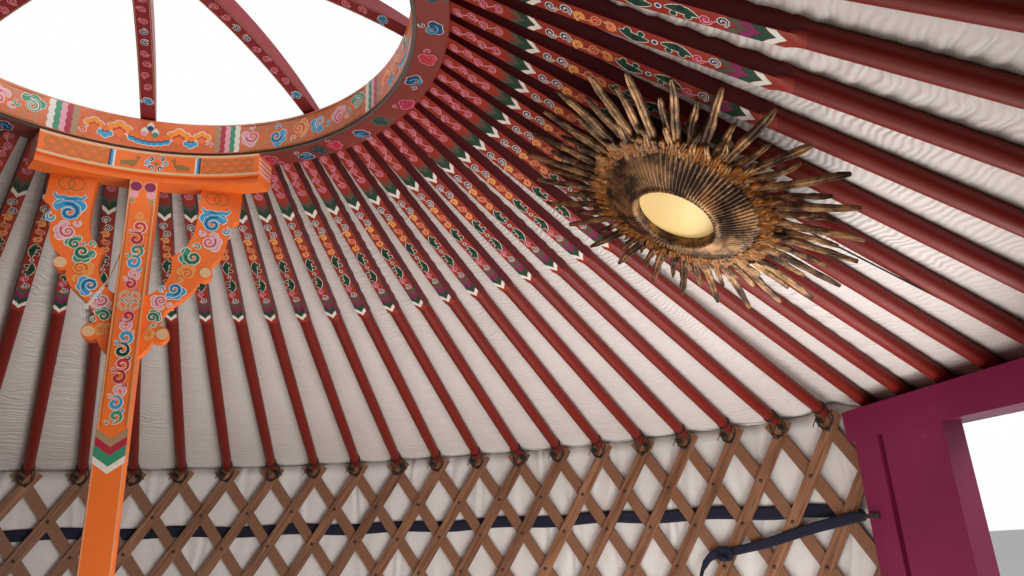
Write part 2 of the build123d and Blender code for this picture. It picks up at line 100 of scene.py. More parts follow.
class TentSizes(bpy.types.PropertyGroup):
    ring_inner: length_property("Ring Inner Radius", "Inner radius of the crown ring", 0.762)
    wall_radius: length_property("Wall Radius", "Radius where the two layers of laths meet", 2.8)
    head_height: length_property("Head Height", "Height of the top row of lath bolts", 1.7)
    row_height: length_property("Row Height", "Height from one row of bolts to the next", 0.185)
    head_count: count_property("Lath Heads", "Number of lath heads round the wall", 60)
    door_gap: angle_property(
        "Door Gap", "Angle from the first lath head to the last across the door", 59.46)
    door_poles: count_property("Door Poles", "Number of roof poles over the door", 11)
    pole_at_ring: length_property(
        "Pole Height at Ring", "Height of a pole's middle line at the ring", 2.769)
    pole_at_wall: length_property(
        "Pole Height at Wall", "Height of a pole's middle line over the lattice", 1.763)
    pole_seat: length_property(
        "Pole Seat", "From the door frame's inner face to a door pole's foot", 0.095)
    pole_square: length_property("Pole Square", "Width of the square part of a roof pole", 0.050)
    painted_length: length_property(
        "Painted Length", "Length of the patterned part of a roof pole", 0.882)
    post_turn: angle_property("Post Turn", "Angle of the east post about the crown", 18.5)
    post_radius: length_property(
        "Post Radius", "From the crown's centre to the middle of a post", 0.815)
    post_width: length_property("Post Width", "Width of a post", 0.090)
    bracket_thickness: length_property("Bracket Thickness", "Thickness of a bracket board", 0.048)
    beam_angle: angle_property(
        "Beam Angle", "Angle that a post's beam takes up under the ring", 54.0)
    beam_shift: angle_property("Beam Shift", "From the post to the middle of its beam", -2.4)
    spoke_turn: angle_property("Spoke Turn", "Angle of the first spoke about the crown", 19.5)
    spoke_count: count_property("Spokes", "Number of spokes in the crown", 8)
    pole_round: length_property("Pole Round", "Radius of the round part of a roof pole", 0.027)


class TentColours(bpy.types.PropertyGroup):
    white: colour_property("White", "Outline white", (0.78, 0.74, 0.66))
    cream: colour_property("Cream", "Edge lines", (0.74, 0.42, 0.20))
    gold: colour_property("Gold", "Fret lines", (0.27, 0.165, 0.045))
    tan: colour_property("Tan", "Scalloped band", (0.40, 0.25, 0.13))
    pink: colour_property("Pink", "Pink scrolls", (0.78, 0.35, 0.42))
    crimson: colour_property("Crimson", "Crimson scrolls", (0.42, 0.02, 0.05))
    magenta: colour_property("Magenta", "Magenta bands", (0.22, 0.012, 0.08))
    blue: colour_property("Blue", "Sky blue scrolls", (0.035, 0.34, 0.60))
    navy: colour_property("Navy", "Dark blue scrolls", (0.012, 0.05, 0.13))
    green: colour_property("Green", "Green leaves", (0.04, 0.27, 0.15))
    pine: colour_property("Pine", "Dark green bands", (0.008, 0.055, 0.03))
    orange: colour_property("Orange", "Orange ground", (0.84, 0.172, 0.030))
    amber: colour_property("Amber", "Yellow orange clouds", (0.88, 0.30, 0.03))
    grey: colour_property("Grey", "Grey brown bands", (0.10, 0.07, 0.055))
    sand: colour_property("Sand", "Pale knobs and beam edges", (0.76, 0.50, 0.27))
    red: colour_property("Red", "Red inner shapes", (0.62, 0.035, 0.03))


def tent():
    """The tent's sizes."""
    return bpy.context.scene.tent_sizes


# Shader networks
class Network:
    """Adds nodes to one tree and links them by socket name or number."""

    def __init__(self, tree):
        self.tree = tree

    def node(self, kind, settings=None, **inputs):
        made = self.tree.nodes.new(kind)
        for name, value in (settings or {}).items():
            setattr(made, name, value)
        for name, value in inputs.items():
            self.feed(made.inputs[name.replace("_", " ")], value)
        return made

    def feed(self, socket, value):
        if isinstance(value, bpy.types.NodeSocket):
            self.tree.links.new(value, socket)
        elif hasattr(value, "__len__") and len(value) == 3 and socket.type == "RGBA":
            socket.default_value = (*value, 1.0)
        else:
            socket.default_value = value

    def math(self, operation, *values):
        made = self.node("ShaderNodeMath", {"operation": operation})
        for socket, value in zip(made.inputs, values):
            self.feed(socket, value)
        return made.outputs[0]

    def plus(self, *values):
        return self.math("ADD", *values)

    def minus(self, *values):
        return self.math("SUBTRACT", *values)

    def times(self, *values):
        return self.math("MULTIPLY", *values)

    def scale(self, vector, amount):
        return self.node("ShaderNodeVectorMath", {"operation": "SCALE"}, Vector=vector,
                         Scale=amount).outputs[0]

    def mix(self, factor, low, high):
        made = self.node("ShaderNodeMix", {"data_type": "RGBA"})
        self.feed(made.inputs[0], factor)
        self.feed(made.inputs[6], low)
        self.feed(made.inputs[7], high)
        return made.outputs[2]

    def noise(self, vector, scale, detail=3.0, roughness=0.55):
        made = self.node("ShaderNodeTexNoise", Vector=vector, Scale=scale, Detail=detail,
                         Roughness=roughness)
        return made.outputs[0]

    def band(self, value, low, high, soft=0.0005):
        rising = self.smooth(value, low - soft, low + soft)
        falling = self.smooth(value, high - soft, high + soft)
        return self.minus(rising, falling)

    def smooth(self, value, low, high, bottom=0.0, top=1.0):
        made = self.node("ShaderNodeMapRange", {"interpolation_type": "SMOOTHSTEP"})
        for socket, number in zip(made.inputs, (value, low, high, bottom, top)):
            self.feed(socket, number)
        return made.outputs[0]

    def join(self, x, y, z):
        return self.node("ShaderNodeCombineXYZ", X=x, Y=y, Z=z).outputs[0]

    def place(self):
        """Object coordinates measured from the crown's centre."""
        coordinates = self.node("ShaderNodeTexCoord").outputs["Object"]
        moved = self.node("ShaderNodeMapping", Vector=coordinates)
        moved.inputs["Location"].default_value = -CENTRE
        return moved.outputs[0]


def new_group(name, inputs, outputs):
    tree = bpy.data.node_groups.new(name, "ShaderNodeTree")
    for label, kind, value in inputs:
        socket = tree.interface.new_socket(name=label, in_out="INPUT",
                                           socket_type="NodeSocket" + kind)
        if value is not None:
            socket.default_value = value
    for label, kind in outputs:
        tree.interface.new_socket(name=label, in_out="OUTPUT", socket_type="NodeSocket" + kind)
    net = Network(tree)
    return net, tree.nodes.new("NodeGroupInput").outputs, tree.nodes.new("NodeGroupOutput").inputs


def polar_group():
    """Turns a place into an angle, a radius and a height about the crown."""
    net, given, result = new_group("round_the_crown", [("Place", "Vector", None)],
                                   [("Angle", "Float"), ("Radius", "Float"), ("Height", "Float")])
    parts = net.node("ShaderNodeSeparateXYZ", Vector=given["Place"]).outputs
    net.feed(result["Angle"], net.math("ARCTAN2", parts[1], parts[0]))
    flat = net.join(parts[0], parts[1], 0.0)
    length = net.node("ShaderNodeVectorMath", {"operation": "LENGTH"}, Vector=flat)
    net.feed(result["Radius"], length.outputs["Value"])
    net.feed(result["Height"], parts[2])
    return net.tree


def wear_group():
    """Scuffs, dusty mottle and brush marks for painted wood."""
    net, given, result = new_group(
        "worn_paint",
        [("Place", "Vector", None), ("Paint", "Color", (0.5, 0.1, 0.05, 1)),
         ("Bare", "Color", (0.4, 0.2, 0.12, 1)), ("Wear", "Float", 0.2), ("Fine", "Float", 60.0)],
        [("Color", "Color"), ("Roughness", "Float"), ("Height", "Float")])
    broad = net.noise(given["Place"], 3.1, 2.0)
    fine = net.noise(given["Place"], given["Fine"], 2.0, 0.7)
    scuffs = net.times(net.smooth(broad, 0.42, 0.72), net.smooth(fine, 0.56, 0.68))
    shade = net.plus(0.82, net.times(broad, 0.36))
    paint = net.scale(given["Paint"], shade)
    worn = net.mix(net.times(scuffs, given["Wear"]), paint, given["Bare"])
    net.feed(result["Color"], worn)
    rough = net.plus(0.33, net.times(fine, 0.22))
    net.feed(result["Roughness"], net.plus(rough, net.times(scuffs, 0.3)))
    net.feed(result["Height"], fine)
    return net.tree


def weave_group():
    """A plain weave in two directions, with slubs."""
    net, given, result = new_group(
        "plain_weave", [("Place", "Vector", None), ("Threads", "Float", 900.0)],
        [("Height", "Float"), ("Shade", "Float")])
    scaled = net.scale(given["Place"], given["Threads"])
    parts = net.node("ShaderNodeSeparateXYZ", Vector=scaled).outputs
    across = net.math("SINE", parts[0])
    along = net.math("SINE", parts[1])
    net.feed(result["Height"], net.times(across, along))
    slubs = net.noise(given["Place"], 35.0, 1.0)
    net.feed(result["Shade"], slubs)
    return net.tree


GROUPS = {}


def use_group(net, name, **inputs):
    if name not in GROUPS:
        GROUPS[name] = {"polar": polar_group, "wear": wear_group, "weave": weave_group}[name]()
    return net.node("ShaderNodeGroup", {"node_tree": GROUPS[name]}, **inputs).outputs


def new_material(name, **plain):
    material = bpy.data.materials.new(name)
    material.use_nodes = True
    net = Network(material.node_tree)
    shader = material.node_tree.nodes["Principled BSDF"]
    for label, value in plain.items():
        net.feed(shader.inputs[label.replace("_", " ")], value)
    return material, net, shader


def bump(net, shader, height, strength, distance):
    made = net.node("ShaderNodeBump", Height=height, Strength=strength, Distance=distance)
    net.feed(shader.inputs["Normal"], made.outputs[0])


def worn_finish(net, shader, place, paint, bare, wear, fine=60.0, relief=0.0006):
    worn = use_group(net, "wear", Place=place, Paint=paint, Bare=bare, Wear=wear, Fine=fine)
    net.feed(shader.inputs["Base Color"], worn["Color"])
    net.feed(shader.inputs["Roughness"], worn["Roughness"])
    bump(net, shader, worn["Height"], 0.4, relief)


def pole_paint(name, first, pitch):
    """Brick red poles whose square part has an orange underside and maroon sides."""
    sizes = tent()
    material, net, shader = new_material(name, Specular_IOR_Level=0.3)
    place = net.place()
    polar = use_group(net, "polar", Place=place)
    steps = net.math("DIVIDE", net.minus(polar["Angle"], first), pitch)
    off = net.times(net.minus(steps, net.math("ROUND", steps)), pitch)
    side = net.math("ABSOLUTE", net.times(net.math("SINE", off), polar["Radius"]))
    edge = sizes.pole_square / 2
    on_side = net.smooth(side, edge - 0.0012, edge - 0.0006)
    slope = math.atan(wall_slope())
    end = RING_OUTER + sizes.painted_length * math.cos(slope)
    painted = net.smooth(polar["Radius"], end, end + 0.002, 1.0, 0.0)
    under = net.mix(painted, (0.190, 0.012, 0.006), (0.33, 0.034, 0.017))
    side_paint = net.mix(painted, (0.17, 0.010, 0.006), (0.105, 0.003, 0.008))
    paint = net.mix(on_side, under, side_paint)
    tint = net.node("ShaderNodeTexWhiteNoise", {"noise_dimensions": "1D"},
                    W=net.math("ROUND", steps)).outputs["Value"]
    tinted = net.mix(net.times(tint, 0.3), paint, (0.15, 0.014, 0.009))
    stretched = net.join(net.times(steps, 4.0), polar["Radius"], polar["Height"])
    worn_finish(net, shader, stretched, tinted, (0.30, 0.06, 0.03), 0.25, 22.0, 0.0008)
    return material


def crown_paint():
    """Orange inside, dark red under, brown on the edge that shows between them."""
    sizes = tent()
    material, net, shader = new_material("crown_ring_paint", Coat_Weight=0.12, Coat_Roughness=0.25,
                                         Specular_IOR_Level=0.35)
    place = net.place()
    polar = use_group(net, "polar", Place=place)
    inner = net.smooth(polar["Radius"], sizes.ring_inner + 0.002, sizes.ring_inner + 0.004,
                       1.0, 0.0)
    paint = net.mix(inner, (0.19, 0.028, 0.020), (0.70, 0.150, 0.040))
    low = net.smooth(polar["Height"], RING_BOTTOM + 0.009, RING_BOTTOM + 0.011, 1.0, 0.0)
    near = net.smooth(polar["Radius"], sizes.ring_inner + 0.012, sizes.ring_inner + 0.014,
                      1.0, 0.0)
    edged = net.mix(net.times(low, near), paint, (0.045, 0.018, 0.012))
    worn_finish(net, shader, place, edged, (0.32, 0.13, 0.07), 0.3, 45.0)
    return material


def plain_paint(name, paint, bare, wear=0.25, fine=50.0):
    material, net, shader = new_material(name, Coat_Weight=0.12, Coat_Roughness=0.25,
                                         Specular_IOR_Level=0.35)
    worn_finish(net, shader, net.place(), paint, bare, wear, fine)
    return material


def ornament_paint():
    """Reads the brushed colour that each painted shape carries."""
    material, net, shader = new_material("ornament_paint", Specular_IOR_Level=0.4)
    colour = net.node("ShaderNodeAttribute", {"attribute_name": "paint"}).outputs["Color"]
    worn_finish(net, shader, net.place(), colour, (0.30, 0.12, 0.07), 0.22, 90.0, 0.0003)
    return material


def lath_wood():
    """Planed willow: grain along each lath, and a shade of its own for each one."""
    sizes = tent()
    material, net, shader = new_material("lath_wood")
    place = net.place()
    polar = use_group(net, "polar", Place=place)
    arc = net.times(polar["Angle"], sizes.wall_radius)
    pitch = wall_pitch() * sizes.wall_radius
    slope = math.atan2(2 * sizes.row_height, pitch)
    outer = net.smooth(polar["Radius"], sizes.wall_radius - 0.001,
                       sizes.wall_radius + 0.001)
    lean = net.minus(net.times(outer, 2.0), 1.0)
    run = net.times(arc, math.cos(slope))
    rise = net.times(polar["Height"], math.sin(slope))
    along = net.plus(net.times(run, lean), rise)
    arc_across = net.times(net.times(arc, lean), math.sin(slope))
    across = net.minus(arc_across, net.times(polar["Height"], math.cos(slope)))
    number = net.math("ROUND", net.math("DIVIDE", across, pitch * math.sin(slope)))
    own = net.node("ShaderNodeTexWhiteNoise", {"noise_dimensions": "2D"},
                   Vector=net.join(number, outer, 0.0)).outputs["Value"]
    grain_place = net.join(net.times(along, 2.5), net.times(across, 55.0), net.times(own, 30.0))
    grain = net.noise(grain_place, 1.6, 3.0, 0.65)
    wood = net.mix(net.smooth(grain, 0.3, 0.7), (0.15, 0.062, 0.030), (0.45, 0.215, 0.112))
    shaded = net.mix(net.times(own, 0.5), wood, (0.14, 0.056, 0.030))
    net.feed(shader.inputs["Base Color"], shaded)
    net.feed(shader.inputs["Roughness"], net.smooth(grain, 0.2, 0.9, 0.42, 0.66))
    bump(net, shader, grain, 0.5, 0.0012)
    return material


def cloth(name, colour, dust_and_fold_shade, threads, wrinkle=0.0, gathers=0.0, hanging=0.0):
    """Plain cotton or felt; gathers run round the crown and hanging folds run down, with painted
    shade in their hollows and painted highlights on their crests.
    """
    material, net, shader = new_material(name, Roughness=0.9)
    place = net.place()
    woven = use_group(net, "weave", Place=place, Threads=threads)
    stains = net.smooth(net.noise(place, 1.4, 2.0), 0.45, 0.8)
    tinted = net.mix(net.times(stains, 0.35), colour, dust_and_fold_shade)
    shade = woven["Shade"]
    height = woven["Height"]
    if wrinkle:
        polar = use_group(net, "polar", Place=place)
        folds_at = net.join(net.times(polar["Angle"], 2.2), net.times(polar["Radius"], 14.0),
                            net.times(polar["Height"], 9.0))
        folds = net.noise(folds_at, 1.7, 2.0, 0.5)
        height = net.plus(net.times(height, 0.03), net.times(folds, wrinkle))
    if gathers:
        bend_at = net.join(net.times(polar["Angle"], 26.0), net.times(polar["Radius"], 9.0), 0.0)
        bend = net.noise(bend_at, 1.0, 1.0, 0.6)
        phase = net.plus(net.times(polar["Radius"], 2 * math.pi / 0.017), net.times(bend, 16.0))
        patch_at = net.join(net.times(polar["Angle"], 11.25), net.times(polar["Radius"], 2.2),
                            3.0)
        patch = net.smooth(net.noise(patch_at, 1.0, 1.0), 0.36, 0.60, 0.25, 1.0)
        ridge = net.times(net.math("SINE", phase), patch)
        seam = net.band(polar["Radius"], 2.700, 2.703, 0.002)
        ridge = net.plus(ridge, net.times(seam, 2.0))
        height = net.plus(height, net.times(ridge, gathers))
        # Painted shade: the colour darkens in the hollows of the gathers and lightens on their
        # crests and on the raised seam.
        shade = net.plus(shade, net.times(ridge, -0.35))
    if hanging:
        sway_at = net.join(net.times(polar["Angle"], 12.0), 0.0, net.times(polar["Height"], 1.3))
        sway = net.noise(sway_at, 1.0, 1.0, 0.6)
        phase = net.plus(net.times(polar["Angle"], 150.0), net.times(sway, 26.0))
        fold = net.times(net.math("SINE", phase), net.smooth(sway, 0.35, 0.6, 0.3, 1.0))
        height = net.plus(height, net.times(fold, hanging))
        # Painted shade: the colour darkens in the hollows of the hanging folds and lightens on
        # their crests.
        shade = net.plus(shade, net.times(fold, -0.30))
    # Mixes towards the darker second colour by the slubs and by the painted fold shade above.
    net.feed(shader.inputs["Base Color"], net.mix(net.times(shade, 0.3), tinted, dust_and_fold_shade))
    bump(net, shader, height, 0.6, 0.004 if wrinkle else 0.0005)
    return material


def bronze():
    """Aged gold leaf on carved wood: dark hollows and bright ridges."""
    material, net, shader = new_material("lamp_bronze", Metallic=0.55)
    place = net.place()
    broad = net.noise(place, 14.0, 5.0, 0.6)
    fine = net.noise(place, 120.0, 4.0, 0.7)
    mask = net.smooth(net.plus(net.times(broad, 0.7), net.times(fine, 0.3)), 0.42, 0.62)
    net.feed(shader.inputs["Base Color"],
             net.mix(mask, (0.050, 0.026, 0.015), (0.40, 0.215, 0.095)))
    net.feed(shader.inputs["Roughness"], net.smooth(fine, 0.2, 0.8, 0.35, 0.62))
    bump(net, shader, broad, 0.7, 0.004)
    return material


def glow():
    material, net, shader = new_material("lamp_glow", Roughness=0.3, Emission_Strength=0.22)
    veil = net.noise(net.place(), 9.0, 2.0)
    colour = net.mix(veil, (0.84, 0.54, 0.17), (0.86, 0.68, 0.36))
    net.feed(shader.inputs["Base Color"], colour)
    net.feed(shader.inputs["Emission Color"], colour)
    return material


def iron():
    material, net, shader = new_material("iron", Metallic=0.85)
    mask = net.noise(net.place(), 160.0, 4.0)
    net.feed(shader.inputs["Base Color"], net.mix(mask, (0.05, 0.05, 0.055), (0.16, 0.12, 0.10)))
    net.feed(shader.inputs["Roughness"], net.smooth(mask, 0.2, 0.8, 0.35, 0.65))
    bump(net, shader, mask, 0.3, 0.0004)
    return material


MATERIALS = {}
# Paint, bare wood under it, wear and fineness of the scuffs
PAINTS = {
    "spoke_paint": ((0.24, 0.018, 0.026), (0.16, 0.13, 0.12)),
    "post_paint": ((0.90, 0.180, 0.026), (0.52, 0.16, 0.07), 0.2),
    "door_paint": ((0.23, 0.012, 0.072), (0.34, 0.09, 0.13), 0.4, 26.0),
    "rust_gilt": ((0.34, 0.125, 0.022), (0.07, 0.028, 0.010), 1.0, 70.0),
}
# Colour, colour of dusty stains and of painted fold shade, threads, and how strong its wrinkles,
# gathers and hanging folds are
CLOTHS = {
    "roof_lining": ((0.74, 0.67, 0.63), (0.50, 0.44, 0.40), 1500.0, 0.6, 0.5),
    "wall_lining": ((0.87, 0.83, 0.80), (0.62, 0.57, 0.54), 1500.0, 0.7, 0.0, 1.4),
    "canvas": ((0.78, 0.77, 0.73), (0.55, 0.50, 0.42), 900.0, 0.6),
    "canvas_seam": ((0.60, 0.58, 0.53), (0.42, 0.38, 0.32), 1400.0),
    "navy_webbing": ((0.006, 0.008, 0.026), (0.018, 0.018, 0.04), 700.0),
    "hair_webbing": ((0.52, 0.47, 0.38), (0.20, 0.13, 0.08), 500.0),
    "black_cord": ((0.012, 0.011, 0.013), (0.05, 0.045, 0.04), 900.0),
    "white_cord": ((0.86, 0.83, 0.78), (0.45, 0.38, 0.30), 900.0),
}
OTHER_LOOKS = {
    "wall_pole_paint": lambda: pole_paint("wall_pole_paint", first_head(), wall_pitch()),
    "door_pole_paint": lambda: pole_paint("door_pole_paint", first_head() - door_pitch(),
                                          door_pitch()),
    "crown_ring_paint": crown_paint, "ornament_paint": ornament_paint, "lath_wood": lath_wood,
    "lamp_bronze": bronze, "lamp_glow": glow, "iron": iron,
}


def material(name):
    if name not in MATERIALS:
        if name in PAINTS:
            MATERIALS[name] = plain_paint(name, *PAINTS[name])
        elif name in CLOTHS:
            MATERIALS[name] = cloth(name, *CLOTHS[name])
        else:
            MATERIALS[name] = OTHER_LOOKS[name]()
    return MATERIALS[name]


# The tent's own geometry, from its sizes
def wall_pitch():
    sizes = tent()
    return (2 * math.pi - sizes.door_gap) / (sizes.head_count - 1)


def door_pitch():
    sizes = tent()
    return sizes.door_gap / (sizes.door_poles + 1)


def first_head():
    return -math.pi / 2 + tent().door_gap / 2


def pole_ways(slope):
    """The directions along a pole that runs out along +X, and up from it."""
    tilt = math.atan(slope)
    return (np.array((math.cos(tilt), 0, -math.sin(tilt))),
            np.array((math.sin(tilt), 0, math.cos(tilt))))


def full_turn(count):
    """Even angles all the way round."""
    return np.arange(count) * 2 * math.pi / count


def wall_slope():
    sizes = tent()
    return (sizes.pole_at_ring - sizes.pole_at_wall) / (sizes.wall_radius - RING_OUTER)


def door_slope(angle):
    sizes = tent()
    reach = (FRAME_FACE + sizes.pole_seat) / np.abs(np.sin(angle))
    return (sizes.pole_at_ring - LINTEL_TOP) / (reach - RING_OUTER)


def door_angles():
    count = tent().door_poles
    return [first_head() - door_pitch() * (number + 1) for number in range(count)]


def over_door(angle):
    """One over the door, nothing over the wall, with a short blend between."""
    half = tent().door_gap / 2
    away = np.abs(np.angle(np.exp(1j * (angle + math.pi / 2))))
    return np.clip((half + wall_pitch() * 0.4 - away) / (wall_pitch() * 0.5), 0, 1)


def roof_slope(angle):
    share = over_door(angle)
    near = np.where(np.abs(np.sin(angle)) < 0.5, -0.5, np.sin(angle))
    return wall_slope() * (1 - share) + door_slope(np.arcsin(np.clip(near, -1, 1))) * share


def roof_height(radius, angle, lift):
    """Height of a skin that lies over the poles, lift metres off their tops."""
    slope = roof_slope(angle)
    above = (POLE_TOP + lift) * np.sqrt(1 + slope ** 2)
    return tent().pole_at_ring - (radius - RING_OUTER) * slope + above


def cloth_edge(angle, round_reach, flat_reach):
    """How far out a roof cloth reaches: round over the wall, straight over the door."""
    sine = np.where(np.sin(angle) < -0.5, -np.sin(angle), 1e-6)
    return np.minimum(round_reach, flat_reach / sine)


def wall_grid(reach, columns, rows, top_reach, lift, beside):
    """Angles, shares of the height and top edge of a cloth round the wall, lower by the door."""
    first = -math.acos(DOOR_SIDE / reach)
    angle = np.linspace(first, math.pi - first, columns)[None, :]
    share = np.linspace(0, 1, rows)[:, None]
    top = roof_height(top_reach, angle, lift)
    door = (np.abs(top_reach * np.cos(angle)) < LINTEL_HALF + beside) & (np.sin(angle) < 0)
    return angle, share, np.where(door, LINTEL_BOTTOM - 0.002, top)


def around(radius, angle, height):
    """Points about the crown from radii, angles and heights."""
    east, north = radius * np.cos(angle), radius * np.sin(angle)
    return np.stack(np.broadcast_arrays(east, north, height), -1)


def turn_points(points, angle):
    """Turns points about the crown."""
    c, s = math.cos(angle), math.sin(angle)
    return points @ np.array(((c, s, 0), (-s, c, 0), (0, 0, 1)))


# Mesh making
def new_piece(name, points, faces, look, slot, smooth=True, recalc=True):
    mesh = bpy.data.meshes.new(name)
    mesh.from_pydata((np.array(points, float) + np.array(CENTRE)).tolist(), [], faces)
    mesh.update()
    piece = bpy.data.objects.new(name, mesh)
    bpy.context.scene.collection.objects.link(piece)
    if recalc:
        close_up(mesh)
    mesh.materials.append(material(look))
    mesh.polygons.foreach_set("use_smooth", [smooth] * len(mesh.polygons))
    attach(piece, "root")
    return piece


def close_up(mesh, merge=0.00001):
    """Merges doubles, if a distance for it is given, and turns the faces outwards."""
    shape = bmesh.new()
    shape.from_mesh(mesh)
    if merge:
        bmesh.ops.remove_doubles(shape, verts=shape.verts, dist=merge)
    bmesh.ops.recalc_face_normals(shape, faces=shape.faces)
    shape.to_mesh(mesh)
    shape.free()


def made_plain(piece):
    """Replaces a piece's mesh by what its modifiers make of it."""
    graph = bpy.context.evaluated_depsgraph_get()
    mesh = bpy.data.meshes.new_from_object(piece.evaluated_get(graph))
    piece.modifiers.clear()
    piece.data = mesh
    return piece


def shell(front, back, wrap=False):
    """A closed skin from two grids of points, front and back, of the same shape."""
    rows, columns = front.shape[:2]
    points = np.concatenate([front.reshape(-1, 3), back.reshape(-1, 3)])
    far = rows * columns
    faces = []
    steps = columns if wrap else columns - 1
    for row in range(rows - 1):
        for column in range(steps):
            a = row * columns + column
            b = row * columns + (column + 1) % columns
            faces.append((a, b, b + columns, a + columns))
            faces.append((far + a, far + a + columns, far + b + columns, far + b))
    for column in range(steps):
        a, b = column, (column + 1) % columns
        faces.append((a, far + a, far + b, b))
        low = (rows - 1) * columns
        faces.append((low + a, low + b, far + low + b, far + low + a))
    if not wrap:
        for row in range(rows - 1):
            for column in (0, columns - 1):
                a = row * columns + column
                faces.append((a, a + columns, far + a + columns, far + a))
    return points, faces


def ring_faces(rings, sides, closed=False):
    """Faces over rings of corners, capped at both ends or closed into a loop."""
    faces = []
    for ring in range(rings if closed else rings - 1):
        here, there = ring * sides, (ring + 1) % rings * sides
        for number in range(sides):
            beside = (number + 1) % sides
            faces.append((here + number, here + beside, there + beside, there + number))
    if not closed:
        faces += [tuple(range(sides))[::-1], tuple(range((rings - 1) * sides, rings * sides))]
    return faces


def tube(path, radius, sides=6, closed=False):
    """Points and faces of a round tube along a path."""
    path = np.array(path, float)
    if closed:
        tangent = np.roll(path, -1, 0) - np.roll(path, 1, 0)
    else:
        tangent = np.gradient(path, axis=0)
    tangent /= np.linalg.norm(tangent, axis=1)[:, None]
    helper = np.array((0.31, 0.17, 0.93))
    side = np.cross(tangent, helper)
    side /= np.linalg.norm(side, axis=1)[:, None]
    up = np.cross(side, tangent)
    turn = full_turn(sides)
    ring = side[:, None] * np.cos(turn)[None, :, None] + up[:, None] * np.sin(turn)[None, :, None]
    points = (path[:, None] + ring * radius).reshape(-1, 3)
    return points, ring_faces(len(path), sides, closed)


def gather(parts):
    """Joins several lists of points and faces into one."""
    points, faces, count = [], [], 0
    for some_points, some_faces in parts:
        points.append(some_points)
        faces += [tuple(count + corner for corner in face) for face in some_faces]
        count += len(some_points)
    return np.concatenate(points), faces


def spiral(middle, reach, turn):
    """Flat points at the reaches and turns given, seen from a middle."""
    return np.stack([middle[0] + reach * np.cos(turn), middle[1] + reach * np.sin(turn)], 1)


